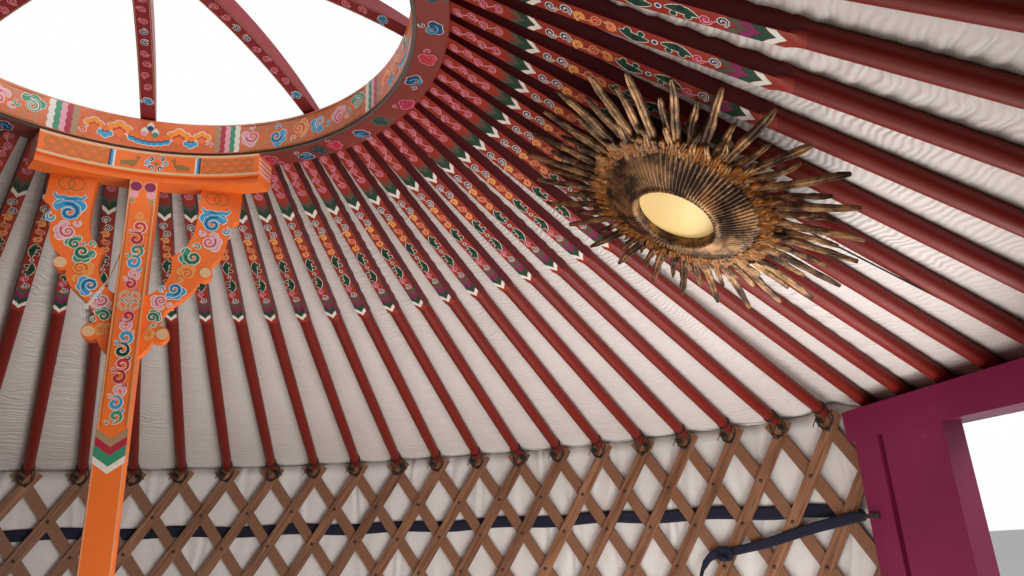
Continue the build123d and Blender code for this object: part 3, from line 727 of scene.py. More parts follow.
# Painted ornament: closed raised shapes, drawn flat and then laid on a surface
class Ornament:
    """Strips of paint on a flat sheet, each with a colour and a layer."""

    # Height of the lowest layer, step from one layer to the next, depth of a shape's foot
    ground = 0.0003
    layer_step = 0.00025
    foot = -0.001
    scroll_turns = 1.3

    def __init__(self):
        self.strips = []

    def strip(self, left, right, colour, layer):
        self.strips.append((np.array(left, float), np.array(right, float), colour, layer))

    def ribbon(self, path, widths, colour, layer):
        path = np.array(path, float)
        tangent = np.gradient(path, axis=0)
        tangent /= np.linalg.norm(tangent, axis=1)[:, None] + 1e-9
        across = np.stack([-tangent[:, 1], tangent[:, 0]], 1) * np.reshape(widths, (-1, 1)) / 2
        self.strip(path + across, path - across, colour, layer)

    def disc(self, middle, radius, colour, layer):
        turn = np.linspace(0.0, math.pi, 7)
        across = np.sin(turn) * radius
        across[[0, -1]] = radius * 0.12
        along = np.cos(turn) * radius
        left = np.stack([middle[0] + along, middle[1] + across], 1)
        right = np.stack([middle[0] + along, middle[1] - across], 1)
        self.strip(left, right, colour, layer)

    def button(self, middle, radius, rim, colour, edge, layer=1):
        """A disc on a broader one of another colour."""
        self.disc(middle, radius + rim, edge, layer)
        self.disc(middle, radius, colour, layer + 1)

    def leaf(self, start, end, width, colour, edge, layer=1, bend=0.09):
        share = np.linspace(0.0, 1.0, 7)
        start, end = np.array(start, float), np.array(end, float)
        along = end - start
        across = np.array((-along[1], along[0]))
        path = start + share[:, None] * along + np.sin(share * math.pi)[:, None] * across * bend
        widths = np.sin(share * math.pi) ** 0.8 * width + width * 0.06
        self.ribbon(path, widths + width * 0.22, edge, layer)
        self.ribbon(path, widths, colour, layer + 1)

    def curl(self, middle, size, colour, edge, layer=1, hand=1, turn=0.0, turns=1.15,
             stations=10, fat=0.42, rim=0.14):
        """A scroll that winds in from its tail to a round eye."""
        share = np.linspace(0.0, 1.0, stations)
        winding = turn + hand * share * turns * 2 * math.pi
        reach = size * (0.92 - 0.74 * share ** 0.8)
        path = spiral(middle, reach, winding)
        widths = size * fat * np.sin(np.clip(share * 1.5 + 0.12, 0, 1) * math.pi / 2)
        widths = widths * (1 - 0.35 * share)
        self.ribbon(path, widths + size * rim * 2, edge, layer)
        self.ribbon(path, widths, colour, layer + 1)

    def scroll(self, middle, size, look, hand, turn, layer, rim=0.0022):
        """A cloud scroll: lobes on its back, a coiled body with a ridge on bare paint, a tail."""
        body, accent, edge, *bare = look
        share = np.linspace(0.0, 1.0, 13)
        winding = turn + hand * share * self.scroll_turns * 2 * math.pi
        reach = size * (0.78 - 0.62 * share ** 0.75)
        path = spiral(middle, reach, winding)
        widths = size * (0.46 - 0.24 * share)
        for number in range(3):
            spot = self.beside(middle, 0.74 * size, turn + hand * (0.3 + 0.85 * number))
            self.button(spot, size * 0.42, rim, body, edge, layer)
        self.ribbon(path, widths + 2 * rim, edge, layer)
        if bare:
            self.disc(middle, size * 0.70, bare[0], layer + 2)
            self.ribbon(path, widths + 1.4 * rim, edge, layer + 3)
        self.ribbon(path, widths, body, layer + 4)
        self.ribbon(path[1:], widths[1:] * 0.30, accent, layer + 5)
        self.curl(self.beside(middle, 1.08 * size, turn - hand * 0.85), 0.44 * size, body, edge,
                  layer, -hand, turn + 1.0, 0.9, 7, 0.5, rim / size * 2.0)

    def beside(self, middle, distance, angle):
        return middle[0] + distance * math.cos(angle), middle[1] + distance * math.sin(angle)

    def circle(self, middle, radius, width, colour, layer):
        turn = np.linspace(0.0, 2 * math.pi, 21)
        self.ribbon(spiral(middle, radius, turn), width, colour, layer)

    def points(self, place, colours):
        """Closed prisms, laid by place(flat, height)."""
        points, faces, paints, count = [], [], [], 0
        for left, right, colour, layer in self.strips:
            stations = len(left)
            top = self.ground + self.layer_step * layer
            for flat, height in ((left, top), (right, top), (left, self.foot),
                                 (right, self.foot)):
                points.append(place(flat, height))
            a, b, c, d = (count + corner * stations for corner in range(4))
            for step in range(stations - 1):
                faces.append((a + step, a + step + 1, b + step + 1, b + step))
                faces.append((c + step, d + step, d + step + 1, c + step + 1))
                faces.append((a + step, c + step, c + step + 1, a + step + 1))
                faces.append((b + step, b + step + 1, d + step + 1, d + step))
            last = stations - 1
            faces.append((a, b, d, c))
            faces.append((a + last, c + last, d + last, b + last))
            paints += [colours[colour]] * (4 * last + 2)
            count += 4 * stations
        return np.concatenate(points), faces, paints


def colour_book():
    group = bpy.context.scene.tent_colours
    return {name: (*getattr(group, name), 1.0) for name in TentColours.__annotations__}


def painted_piece(name, drawn, slot):
    """One piece from ornaments, each with the function that lays it in place."""
    colours = colour_book()
    points, faces, paints, count = [], [], [], 0
    for ornament, place in drawn:
        some_points, some_faces, some_paints = ornament.points(place, colours)
        points.append(some_points)
        faces += [tuple(count + corner for corner in face) for face in some_faces]
        paints += some_paints
        count += len(some_points)
    piece = new_piece(name, np.concatenate(points), faces, "ornament_paint", slot, smooth=False,
                      recalc=False)
    mesh = piece.data
    brushed = mesh.color_attributes.new("paint", "FLOAT_COLOR", "CORNER")
    corners = np.repeat(np.array(paints), 4, axis=0)
    brushed.data.foreach_set("color", corners.ravel())
    close_up(mesh, merge=None)
    return piece


def pole_ornament():
    """The pattern on a pole's underside, from the ring outwards."""
    half = tent().pole_square / 2 - 0.0015
    length = tent().painted_length
    drawn = Ornament()
    for number in range(4):
        at = 0.040 + number * 0.042
        drawn.curl((at, 0.003 * (-1) ** number), 0.0185, "crimson", "pink", 1, (-1) ** number,
                   number * 0.7, 1.15, 10, 0.34, 0.12)
    chevrons(drawn, 0.200, half, (("grey", 0.022), ("pine", 0.030), ("white", 0.020)))
    for number, (colour, edge) in enumerate((("navy", "white"), ("navy", "white"),
                                             ("amber", "cream"), ("red", "cream"),
                                             ("orange", "cream"))):
        drawn.curl((0.322 + number * 0.040, 0.003 * (-1) ** number), 0.0195, colour, edge, 1,
                   (-1) ** number, number * 0.9, 1.1, 10, 0.42, 0.13)
    for start, end, edge in ((0.025, 0.180, "pink"), (0.312, 0.500, "cream"),
                             (0.690, 0.755, "pink")):
        along = np.linspace(start, end, 18)
        wave = 0.010 * np.sin((along - start) * math.pi / 0.041)
        drawn.ribbon(np.stack([along, wave], 1), 0.0028, edge, 0)
    for way in (-1, 1):
        stem, tip = (0.597 + way * 0.093, way * 0.004), (0.597 + way * 0.014, -way * 0.004)
        drawn.leaf(stem, tip, 0.022, "pine", "white")
        for at, across, size in ((0.070, 0.010, 0.0085), (0.052, -0.011, 0.0095),
                                 (0.036, 0.011, 0.0080)):
            drawn.button((0.597 + way * at, way * across), size, 0.0017, "pine", "white")
    drawn.disc((0.597, 0.0), 0.0085, "white", 1)
    drawn.disc((0.597, 0.0), 0.0055, "navy", 2)
    for number, (colour, edge) in enumerate((("crimson", "pink"), ("navy", "white"))):
        drawn.curl((0.706 + number * 0.037, 0.003 * (-1) ** number), 0.018, colour, edge, 1,
                   (-1) ** number, number * 1.1, 1.1, 10, 0.42, 0.13)
    chevrons(drawn, length - 0.130, half, (("grey", 0.026), ("magenta", 0.026), ("pine", 0.030),
                                           ("white", 0.022)))
    return drawn


def chevrons(drawn, start, half, bands, point=0.026):
    """Bands that point outwards, edge to edge across a board."""
    for colour, width in bands:
        notch = 0.005 if colour in ("grey", "pine") else 0.0
        shape = [(0.0, -half), (point * 0.42 - notch, -half * 0.5), (point, 0.0),
                 (point * 0.42 - notch, half * 0.5), (0.0, half)]
        near = [(start + out, across) for out, across in shape]
        far = [(start + width + out, across) for out, across in shape]
        drawn.strip(near, far, colour, 1)
        start += width


def pole_place(slope):
    """Lays a flat pattern on the underside of a pole that runs out along +X."""
    sizes = tent()
    along, up = pole_ways(slope)
    start = np.array((RING_OUTER, 0, sizes.pole_at_ring))

    def place(flat, height):
        out = start - up * (sizes.pole_square / 2 + height) + flat[:, :1] * along
        return out + flat[:, 1:] * np.array((0, 1, 0))
    return place


def turned(place, angle):
    """The same laying, turned about the crown."""
    return lambda flat, height: turn_points(place(flat, height), angle)


def ring_inside(flat, height):
    """Flat x runs round the ring as an angle times its radius, flat y is height on the face."""
    radius = tent().ring_inner
    angle = flat[:, 0] / radius
    return around(radius - height, angle, RING_BOTTOM + flat[:, 1])


def ring_under(flat, height):
    """Flat x is an angle times the middle radius, flat y the distance from the inner edge."""
    inner = tent().ring_inner
    angle = flat[:, 0] / ((inner + RING_OUTER) / 2)
    return around(inner + flat[:, 1], angle, RING_BOTTOM - height)


# Geometry Nodes: one thing repeated round the crown
def crown_repeat_tree(look):
    tree = bpy.data.node_groups.new("repeat_round_crown", "GeometryNodeTree")
    for label, kind, way in (("Geometry", "Geometry", "INPUT"), ("Count", "Int", "INPUT"),
                             ("First Angle", "Float", "INPUT"), ("Pitch", "Float", "INPUT"),
                             ("Centre", "Vector", "INPUT"), ("Geometry", "Geometry", "OUTPUT")):
        tree.interface.new_socket(name=label, in_out=way, socket_type="NodeSocket" + kind)
    net = Network(tree)
    given = tree.nodes.new("NodeGroupInput").outputs
    index = net.node("GeometryNodeInputIndex").outputs[0]
    angle = net.plus(given["First Angle"], net.times(index, given["Pitch"]))
    line = net.node("GeometryNodeMeshLine", Count=given["Count"])
    line.inputs["Offset"].default_value = (0, 0, 0)
    net.feed(line.inputs["Start Location"], given["Centre"])
    turn = net.node("FunctionNodeEulerToRotation", Euler=net.join(0.0, 0.0, angle)).outputs[0]
    copies = net.node("GeometryNodeInstanceOnPoints", Points=line.outputs[0],
                      Instance=given["Geometry"], Rotation=turn).outputs[0]
    real = net.node("GeometryNodeRealizeInstances", Geometry=copies).outputs[0]
    coloured = net.node("GeometryNodeSetMaterial", Geometry=real)
    coloured.inputs["Material"].default_value = material(look)
    net.feed(tree.nodes.new("NodeGroupOutput").inputs[0], coloured.outputs[0])
    return tree


def repeat_round_crown(piece, look, count, first, pitch):
    """Turns a piece that is drawn along +X into copies about the crown."""
    for vertex in piece.data.vertices:
        vertex.co -= CENTRE
    mod = piece.modifiers.new("repeat", "NODES")
    mod.node_group = crown_repeat_tree(look)
    sockets = {item.name: item.identifier for item in mod.node_group.interface.items_tree
               if item.in_out == "INPUT"}
    mod[sockets["Count"]] = count
    mod[sockets["First Angle"]] = first
    mod[sockets["Pitch"]] = pitch
    mod[sockets["Centre"]] = tuple(CENTRE)
    return made_plain(piece)


class TENT_OT_finish_woodwork(bpy.types.Operator):
    """Paints the poles, crown, posts, door frame and laths"""
    bl_idname = "tent.finish_woodwork"
    bl_label = "Finish Woodwork"

    looks = {
        "crown_ring": "crown_ring_paint", "crown_hub": "spoke_paint",
        "crown_spokes": "spoke_paint", "centre_post": "post_paint", "post_beam": "post_paint",
        "bracket": "post_paint", "door": "door_paint", "wall_lattice": "lath_wood",
        "lamp_hangers": "iron", "belt_hooks": "iron", "lamp_cord": "black_cord",
    }

    def execute(self, context):
        for node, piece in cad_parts.items():
            for start, look in self.looks.items():
                if node.startswith(start):
                    piece.data.materials.clear()
                    piece.data.materials.append(material(look))
                    break
        return {"FINISHED"}


class TENT_OT_turn_poles(bpy.types.Operator):
    """Roof poles that are square near the crown and round below"""
    bl_idname = "tent.turn_poles"
    bl_label = "Turn Poles"

    sides = 24
    foot_radius = 2.786

    def execute(self, context):
        sizes = context.scene.tent_sizes
        per_section = sizes.head_count // 4
        for section in range(4):
            piece = new_piece(f"roof_pole_set_{section + 1}", *self.wall_pole(),
                              "wall_pole_paint", "pole_paint", recalc=False)
            first = first_head() + section * per_section * wall_pitch()
            repeat_round_crown(piece, "wall_pole_paint", per_section, first, wall_pitch())
            self.sharpen(piece)
            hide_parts(f"roof_poles_{section + 1}")
        parts = []
        for angle in door_angles():
            points, faces = self.door_pole(door_slope(angle))
            parts.append((turn_points(points, angle), faces))
        piece = new_piece("door_pole_set", *gather(parts), "door_pole_paint", "pole_paint",
                          recalc=False)
        self.sharpen(piece)
        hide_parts("door_poles")
        return {"FINISHED"}

    def sharpen(self, piece):
        piece.data.set_sharp_from_angle(angle=math.radians(35))

    def rings(self, slope, stations):
        """Cross-sections along a pole: each has a place, a share of round and a scale."""
        sizes = tent()
        along, up = pole_ways(slope)
        turn = full_turn(self.sides)
        across, rise = np.cos(turn), np.sin(turn)
        half = sizes.pole_square / 2
        square = half / np.maximum(np.abs(across), np.abs(rise))
        square = np.minimum(square, half * 1.37)
        rings = []
        for place, share, size in stations:
            reach = (square * (1 - share) + sizes.pole_round * share) * size
            middle = np.array((RING_OUTER, 0, sizes.pole_at_ring)) + place * along
            rings.append(middle + (reach * across)[:, None] * np.array((0, 1, 0))
                         + (reach * rise)[:, None] * up)
        return rings, along

    def head(self):
        length = tent().painted_length
        return [(-0.055, 0.0, 1.0), (length, 0.0, 1.0), (length + 0.008, 0.35, 1.0),
                (length + 0.020, 0.75, 1.0), (length + 0.036, 1.0, 1.0)]

    def wall_pole(self):
        reach = (self.foot_radius - RING_OUTER) * math.sqrt(1 + wall_slope() ** 2)
        foot = [(reach - 0.45, 1.0, 1.0), (reach - 0.022, 1.0, 0.98), (reach - 0.008, 1.0, 0.90),
                (reach, 1.0, 0.70), (reach + 0.001, 1.0, 0.34), (reach + 0.024, 1.0, 0.30)]
        return self.skin(self.rings(wall_slope(), self.head() + foot)[0])

    def door_pole(self, slope):
        """Cut level where it stands on the door frame."""
        rings, along = self.rings(slope, self.head())
        last = rings[-1]
        drop = (LINTEL_TOP - last[:, 2:]) / along[2]
        rings += [last + drop * 0.5 * along, last + drop * along]
        return self.skin(rings)

    def skin(self, rings):
        return np.concatenate(rings), ring_faces(len(rings), self.sides)


class TENT_OT_paint_poles(bpy.types.Operator):
    """Scrolls, leaves and chevrons on every roof pole"""
    bl_idname = "tent.paint_poles"
    bl_label = "Paint Poles"

    def execute(self, context):
        sizes = context.scene.tent_sizes
        drawn = pole_ornament()
        per_section = sizes.head_count // 4
        for section in range(4):
            piece = painted_piece(f"pole_pattern_{section + 1}",
                                  [(drawn, pole_place(wall_slope()))], "pole_paint")
            first = first_head() + section * per_section * wall_pitch()
            repeat_round_crown(piece, "ornament_paint", per_section, first, wall_pitch())
        laid = [(drawn, turned(pole_place(door_slope(angle)), angle)) for angle in door_angles()]
        painted_piece("door_pole_pattern", laid, "pole_paint")
        return {"FINISHED"}


class TENT_OT_paint_crown(bpy.types.Operator):
    """Clouds, frets and scalloped bands on the crown ring"""
    bl_idname = "tent.paint_crown"
    bl_label = "Paint Crown"

    def execute(self, context):
        sizes = context.scene.tent_sizes
        inside, under = self.inner_face(), self.lower_face()
        laid = []
        for quarter in range(4):
            angle = sizes.post_turn + quarter * math.pi / 2
            laid += [(inside, turned(ring_inside, angle)), (under, turned(ring_under, angle))]
        painted_piece("crown_pattern", laid, "crown_paint")
        spoke, under_spoke = self.spoke_face(), self.under_spoke()
        turns = [sizes.spoke_turn + number * 2 * math.pi / sizes.spoke_count
                 for number in range(sizes.spoke_count)]
        painted_piece("spoke_pattern", [(spoke, turned(under_spoke, turn)) for turn in turns],
                      "crown_paint")
        return {"FINISHED"}

    def under_spoke(self):
        """Lays a pattern on the underside of a spoke along +X, from the spoke's own mesh."""
        sizes = tent()
        points = np.array([vertex.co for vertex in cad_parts["crown_spokes"].data.vertices])
        points = points - np.array(CENTRE)
        c, s = math.cos(sizes.spoke_turn), math.sin(sizes.spoke_turn)
        along, across = points[:, 0] * c + points[:, 1] * s, points[:, 1] * c - points[:, 0] * s
        low_end, high_end = (sizes.ring_inner, RING_TOP), (hub_high.x - CENTRE.x, hub_low.z + 0.02)
        slope = (high_end[1] - low_end[1]) / (high_end[0] - low_end[0])
        chord = low_end[1] + (along - low_end[0]) * slope
        kept = (along > 0.07) & (np.abs(across) < 0.03) & (points[:, 2] < chord + 0.047)
        order = np.argsort(along[kept])
        reach, level = along[kept][order], points[kept, 2][order]

        def place(flat, height):
            depth = np.interp(flat[:, 0], reach, level) - height
            return np.stack([flat[:, 0], flat[:, 1], depth], 1)
        return place

    def spoke_face(self):
        drawn = Ornament()
        start, end = hub_high.x - CENTRE.x + 0.012, tent().ring_inner - 0.008
        for side in (-1, 1):
            edge = [(at, side * 0.0215) for at in np.linspace(start, end, 14)]
            drawn.ribbon(edge, 0.0022, "tan", 1)
        looks = (("crimson", "pink"),) * 4 + (("navy", "white"),) * 2 + (("crimson", "pink"),) * 4
        step = (end - start - 0.10) / len(looks)
        for number, (colour, edge) in enumerate(looks):
            drawn.curl((start + (number + 0.5) * step, 0.002 * (-1) ** number), 0.0165, colour,
                       edge, 1, (-1) ** number, number * 0.8, 1.15, 10, 0.40, 0.12)
        drawn.scroll((end - 0.055, 0.0), 0.0165, ("blue", "navy", "white"), 1, 2.5, 1)
        return drawn

    def inner_face(self):
        radius = tent().ring_inner
        high = RING_TOP - RING_BOTTOM
        drawn = Ornament()
        reach = math.radians(16.8) * radius
        self.jewel_panel(drawn, high)
        width = math.radians(6.6) * radius / 5
        for side in (-1, 1):
            for number, colour in enumerate(("tan", "crimson", "pink", "green", "white")):
                self.scallops(drawn, side * (reach + number * width), side * width, high, colour)
            start = reach + 5 * width + 0.004
            self.fret_panel(drawn, side, start, math.radians(45) * radius, high)
        return drawn

    def scallops(self, drawn, start, width, high, colour):
        rows = np.linspace(0.013, high - 0.008, 17)
        way = np.sign(width)
        wave = 0.004 * way * np.abs(np.sin((rows - 0.013) / (high - 0.021) * 4 * math.pi))
        near = np.stack([start + wave - 0.002 * way, rows], 1)
        far = np.stack([start + width + wave, rows], 1)
        drawn.strip(near, far, colour, 1)

    def jewel_panel(self, drawn, high):
        mid = high * 0.56
        for side in (-1, 1):
            for at, size in ((0.097, 0.034), (0.176, 0.026)):
                foot = mid - size * 1.05
                for leg in (-1, 1):
                    path = [(side * at + leg * size * 0.95, mid - size * 0.15),
                            (side * at + leg * size * 0.70, mid - size * 0.65),
                            (side * at + leg * size * 0.95, foot)]
                    drawn.ribbon(path, 0.0028, "white", 1)
                for lobe in (-1, 0, 1):
                    spot = (side * at + lobe * size * 0.66, mid + size * (0.42 - 0.42 * abs(lobe)))
                    drawn.button(spot, size * 0.52, 0.0028, "amber", "white")
                for lobe in (-1, 0, 1):
                    spot = (side * at + lobe * size * 0.34, mid - size * (0.02 + 0.22 * abs(lobe)))
                    drawn.disc(spot, size * 0.27, "red", 3)
                drawn.disc((side * at, mid - size * 0.55), size * 0.50, "orange", 4)
            drawn.curl((side * 0.207, mid - 0.030), 0.016, "red", "white", 1, -side, 0.0, 0.8, 9)
            for lobe in (-1, 0, 1):
                spot = (side * 0.139 + lobe * 0.014, mid - 0.028 - 0.009 * (lobe == 0))
                drawn.disc(spot, 0.0125, "white", 1)
                drawn.disc(spot, 0.0098, "blue", 2)
            drawn.disc((side * 0.139, mid - 0.014), 0.012, "navy", 3)
            drawn.disc((side * 0.139, mid - 0.009), 0.0115, "orange", 4)
        for lobe in range(-3, 4):
            spot = (lobe * 0.0185, mid - 0.036 + 0.0012 * lobe * lobe)
            drawn.disc(spot, 0.0165, "white", 1)
            drawn.disc(spot, 0.0137, "blue", 2)
            drawn.disc((spot[0], spot[1] + 0.011), 0.0125, "navy", 3)
            drawn.disc((spot[0], spot[1] + 0.0155), 0.0125, "orange", 4)
        for at, height, colour in ((-0.018, 0.0, "green"), (0.018, 0.0, "pink"),
                                   (0.0, 0.024, "navy")):
            drawn.leaf((at, mid - 0.014 + height), (at, mid + 0.022 + height), 0.021, "white",
                       "cream", 5, 0.0)
            drawn.disc((at, mid - 0.004 + height), 0.0105, colour, 7)

    def fret_panel(self, drawn, side, start, end, high):
        """A key fret of thin double lines with clouds laid over it."""
        step = 0.034
        count = int((end - start) / step)
        line = 0.0028
        for row in (0.016, high - 0.012):
            drawn.ribbon([(side * start, row), (side * (start + end) / 2, row), (side * end, row)],
                         line, "tan", 1)
        for number in range(count):
            at = side * (start + (number + 0.5) * step)
            for low, tall in ((0.024, 0.028), (high - 0.052, 0.028)):
                hook = [(at - 0.012, low), (at - 0.012, low + tall), (at + 0.010, low + tall),
                        (at + 0.010, low + 0.008), (at - 0.002, low + 0.008)]
                for a, b in zip(hook, hook[1:]):
                    drawn.ribbon([a, b], line, "tan", 1)
            drawn.ribbon([(at + 0.017, 0.018), (at + 0.017, high - 0.014)], line, "tan", 1)
        looks = (("pink", "crimson", "white", "orange"), ("blue", "navy", "white", "orange"),
                 ("amber", "red", "white", "orange"))
        if side > 0:
            looks = (("green", "white", "white", "orange"), ("pink", "red", "white", "orange"),
                     ("blue", "white", "white", "orange"))
        for number, look in enumerate(looks):
            at = side * (start + (number + 0.5) * (end - start) / len(looks))
            drawn.scroll((at, high * (0.50 + 0.05 * (-1) ** number)), 0.037, look,
                         side * (-1) ** number, 0.6 + 1.9 * number, 2)

    def lower_face(self):
        radius = (tent().ring_inner + RING_OUTER) / 2
        wide = RING_OUTER - tent().ring_inner
        drawn = Ornament()
        drawn.ribbon([(turn, 0.006) for turn in np.linspace(-0.64, 0.64, 25)], 0.011, "grey", 1)
        looks = (("navy", "blue", "white"), ("crimson", "magenta", "pink"),
                 ("pine", "navy", "green"), ("navy", "blue", "white"), ("crimson", "red", "pink"))
        count = 10
        for number in range(count):
            at = (number + 0.5 - count / 2) * radius * math.pi / 2 / count
            hand = (-1) ** number
            drawn.scroll((at, wide * (0.56 + 0.05 * hand)), 0.030, looks[number % len(looks)],
                         hand, 1.1 * number, 1, 0.0016)
        knot(drawn, (radius * math.pi / 4, wide * 0.55), 0.030, "navy", "pine")
        return drawn


def knot(drawn, middle, reach, outline, fill):
    """Two closed loops that cross, with a small one in the middle, stood on a corner."""
    c = s = math.sqrt(0.5)
    for long, wide in ((reach, reach * 0.42), (reach * 0.42, reach), (reach * 0.2, reach * 0.2)):
        corners = [(long, wide), (-long, wide), (-long, -wide), (long, -wide)]
        flat = [(middle[0] + x * c - y * s, middle[1] + x * s + y * c) for x, y in corners]
        for a, b in zip(flat, flat[1:] + flat[:1]):
            for colour, width, layer in ((outline, 0.0078, 1), (fill, 0.0038, 2)):
                drawn.ribbon([a, b], width, colour, layer)


class TENT_OT_paint_posts(bpy.types.Operator):
    """Scrolls on the posts, beams and brackets"""
    bl_idname = "tent.paint_posts"
    bl_label = "Paint Posts"

    # Across from the post's middle, height, size, look and turning sense of each scroll.
    left_scrolls = (
        (0.217, 2.471, 0.045, "sky", 1), (0.211, 2.400, 0.032, "rose", -1),
        (0.186, 2.358, 0.024, "leaf", -1), (0.160, 2.331, 0.032, "leaf", 1),
        (0.160, 2.272, 0.030, "flame", -1), (0.122, 2.214, 0.032, "sky", 1),
        (0.084, 2.165, 0.026, "rose", -1), (0.072, 2.110, 0.024, "leaf", 1),
        (0.068, 2.063, 0.017, "flame", -1))
    right_scrolls = (
        (0.236, 2.476, 0.042, "sky", 1), (0.229, 2.405, 0.033, "rose", -1),
        (0.182, 2.342, 0.036, "leaf", 1), (0.168, 2.279, 0.026, "flame", -1),
        (0.132, 2.219, 0.030, "sky", 1), (0.095, 2.174, 0.025, "rose", -1),
        (0.074, 2.113, 0.022, "leaf", 1), (0.065, 2.057, 0.016, "flame", -1))
    looks = {
        "sky": ("blue", "navy", "white", "orange"), "rose": ("pink", "crimson", "white", "orange"),
        "leaf": ("green", "pine", "white", "orange"), "flame": ("amber", "red", "cream", "orange"),
    }
    post_curls = (
        (2.471, 0.015, "amber", "cream"), (2.432, 0.024, "red", "white"),
        (2.386, 0.024, "crimson", "cream"), (2.344, 0.024, "green", "white"),
        (2.300, 0.026, "blue", "white"), (2.256, 0.021, "pink", "white"),
        (2.222, 0.020, "crimson", "pink"), (2.108, 0.020, "crimson", "pink"),
        (2.076, 0.022, "pink", "white"), (2.036, 0.025, "blue", "white"),
        (1.990, 0.026, "pine", "white"), (1.944, 0.025, "red", "white"),
        (1.900, 0.024, "crimson", "cream"), (1.858, 0.023, "pink", "white"),
        (1.816, 0.024, "blue", "white"), (1.774, 0.022, "green", "white"))

    def execute(self, context):
        sizes = context.scene.tent_sizes
        post, beam, end = self.post_face(), self.beam_face(), self.beam_end()
        left, right = self.bracket_face(self.left_scrolls, 0.0), self.bracket_face(
            self.right_scrolls, 0.022)
        laid = []
        for angle, hand in ((sizes.post_turn, 1), (math.pi - sizes.post_turn, -1)):
            for side in (-1, 1):
                laid.append((post, turned(self.board(side, sizes.post_width / 2), angle)))
                for bracket, way in ((left, hand), (right, -hand)):
                    face = self.board(side, sizes.bracket_thickness / 2, way)
                    laid.append((bracket, turned(face, angle)))
            middle = angle + hand * sizes.beam_shift
            laid.append((beam, turned(self.beam_inside(hand), middle)))
            laid += [(end, turned(self.beyond_beam(way), middle)) for way in (-1, 1)]
        painted_piece("post_pattern", laid, "post_paint")
        self.string(sizes.post_turn)
        return {"FINISHED"}

    def string(self, angle):
        """A taut string from the back of the east post to a knot round its left bracket."""
        sizes = tent()
        radius = sizes.post_radius
        back = radius + sizes.post_width / 2 + 0.0016
        face = radius - sizes.bracket_thickness / 2 - 0.002
        rear = radius + sizes.bracket_thickness / 2 + 0.002
        run = np.array([(back, 0.004, 2.470), (back, 0.030, 2.432), (back, 0.0465, 2.408),
                        (radius, 0.078, 2.232), (face, 0.084, 2.216), (face, 0.104, 2.181),
                        (face, 0.1245, 2.146), (radius - 0.015, 0.1285, 2.140)])
        ring = np.array([(face, 0.082, 2.208), (face, 0.124, 2.136), (radius, 0.1290, 2.132),
                         (rear, 0.124, 2.136), (rear, 0.082, 2.208), (radius, 0.0755, 2.216)])
        parts = [tube(run, 0.0022), tube(ring, 0.0022, closed=True)]
        turn = full_turn(12)
        for number in range(3):
            bend = np.stack([np.sin(turn + number), np.cos(turn + 2 * number), np.sin(turn)], 1)
            parts.append(tube((face - 0.004, 0.126, 2.140) + bend * 0.0065, 0.0022,
                              closed=True))
        for across, drop in ((0.014, -0.004), (0.006, -0.030), (-0.004, -0.036)):
            share = np.linspace(0, 1, 5)[:, None]
            end = np.array((face - 0.004, 0.130, 2.137)) + share * np.array((0, across, drop))
            parts.append(tube(end, 0.0016))
        points, faces = gather(parts)
        new_piece("bracket_string", turn_points(points, angle), faces, "white_cord",
                  "white_webbing", recalc=False)

    def board(self, side, depth, hand=1):
        """Flat x is the distance from the post's middle, flat y is height."""
        radius = tent().post_radius

        def place(flat, height):
            out = radius + side * (depth + height)
            return np.stack([np.full(len(flat), out), hand * flat[:, 0], flat[:, 1]], 1)
        return place

    def beam_inside(self, hand):
        radius = tent().ring_inner

        def place(flat, height):
            return around(radius - height, hand * flat[:, 0] / radius, RING_BOTTOM - flat[:, 1])
        return place

    def beyond_beam(self, way):
        """Lays a pattern on a beam's end: flat x is the distance from its inner face."""
        sizes = tent()
        c, s = math.cos(way * sizes.beam_angle / 2), math.sin(way * sizes.beam_angle / 2)

        def place(flat, height):
            reach, past = sizes.ring_inner + flat[:, 0], way * height
            return np.stack([reach * c - past * s, reach * s + past * c,
                             RING_BOTTOM - flat[:, 1]], 1)
        return place

    def post_face(self):
        drawn = Ornament()
        half = tent().post_width / 2
        for side in (-1, 1):
            for inset, low, colour, width in ((0.0035, 1.20, "cream", 0.0030),
                                              (0.0095, 1.745, "gold", 0.0022)):
                rows = np.linspace(low, 2.606, 3)
                drawn.ribbon([(side * (half - inset), row) for row in rows], width, colour, 1)
            for height, size, colour, edge in ((2.586, 0.0185, "magenta", "cream"),
                                               (2.556, 0.0140, "pink", "cream"),
                                               (2.530, 0.0095, "tan", "cream")):
                spot = (side * (half - size - 0.004), height)
                drawn.button(spot, size, 0.0022, colour, edge, 2)
        for number, (height, size, colour, edge) in enumerate(self.post_curls):
            hand = (-1) ** number
            drawn.curl((hand * 0.003, height), size * 1.16, colour, edge, 1, hand, hand * 1.2,
                       1.12, 12, 0.50, 0.11)
            drawn.curl((-hand * 0.020, height - size * 0.9), size * 0.46, colour, edge, 1, -hand,
                       0.6, 0.9, 7, 0.5, 0.2)
        knot(drawn, (0.0, 2.163), 0.034, "white", "tan")
        start = 1.738
        for colour, width in (("tan", 0.026), ("crimson", 0.026), ("green", 0.034),
                              ("white", 0.022)):
            near = [(-half, start), (0.0, start - 0.034), (half, start)]
            far = [(-half, start - width), (0.0, start - width - 0.034), (half, start - width)]
            drawn.strip(near, far, colour, 2)
            start -= width
        return drawn

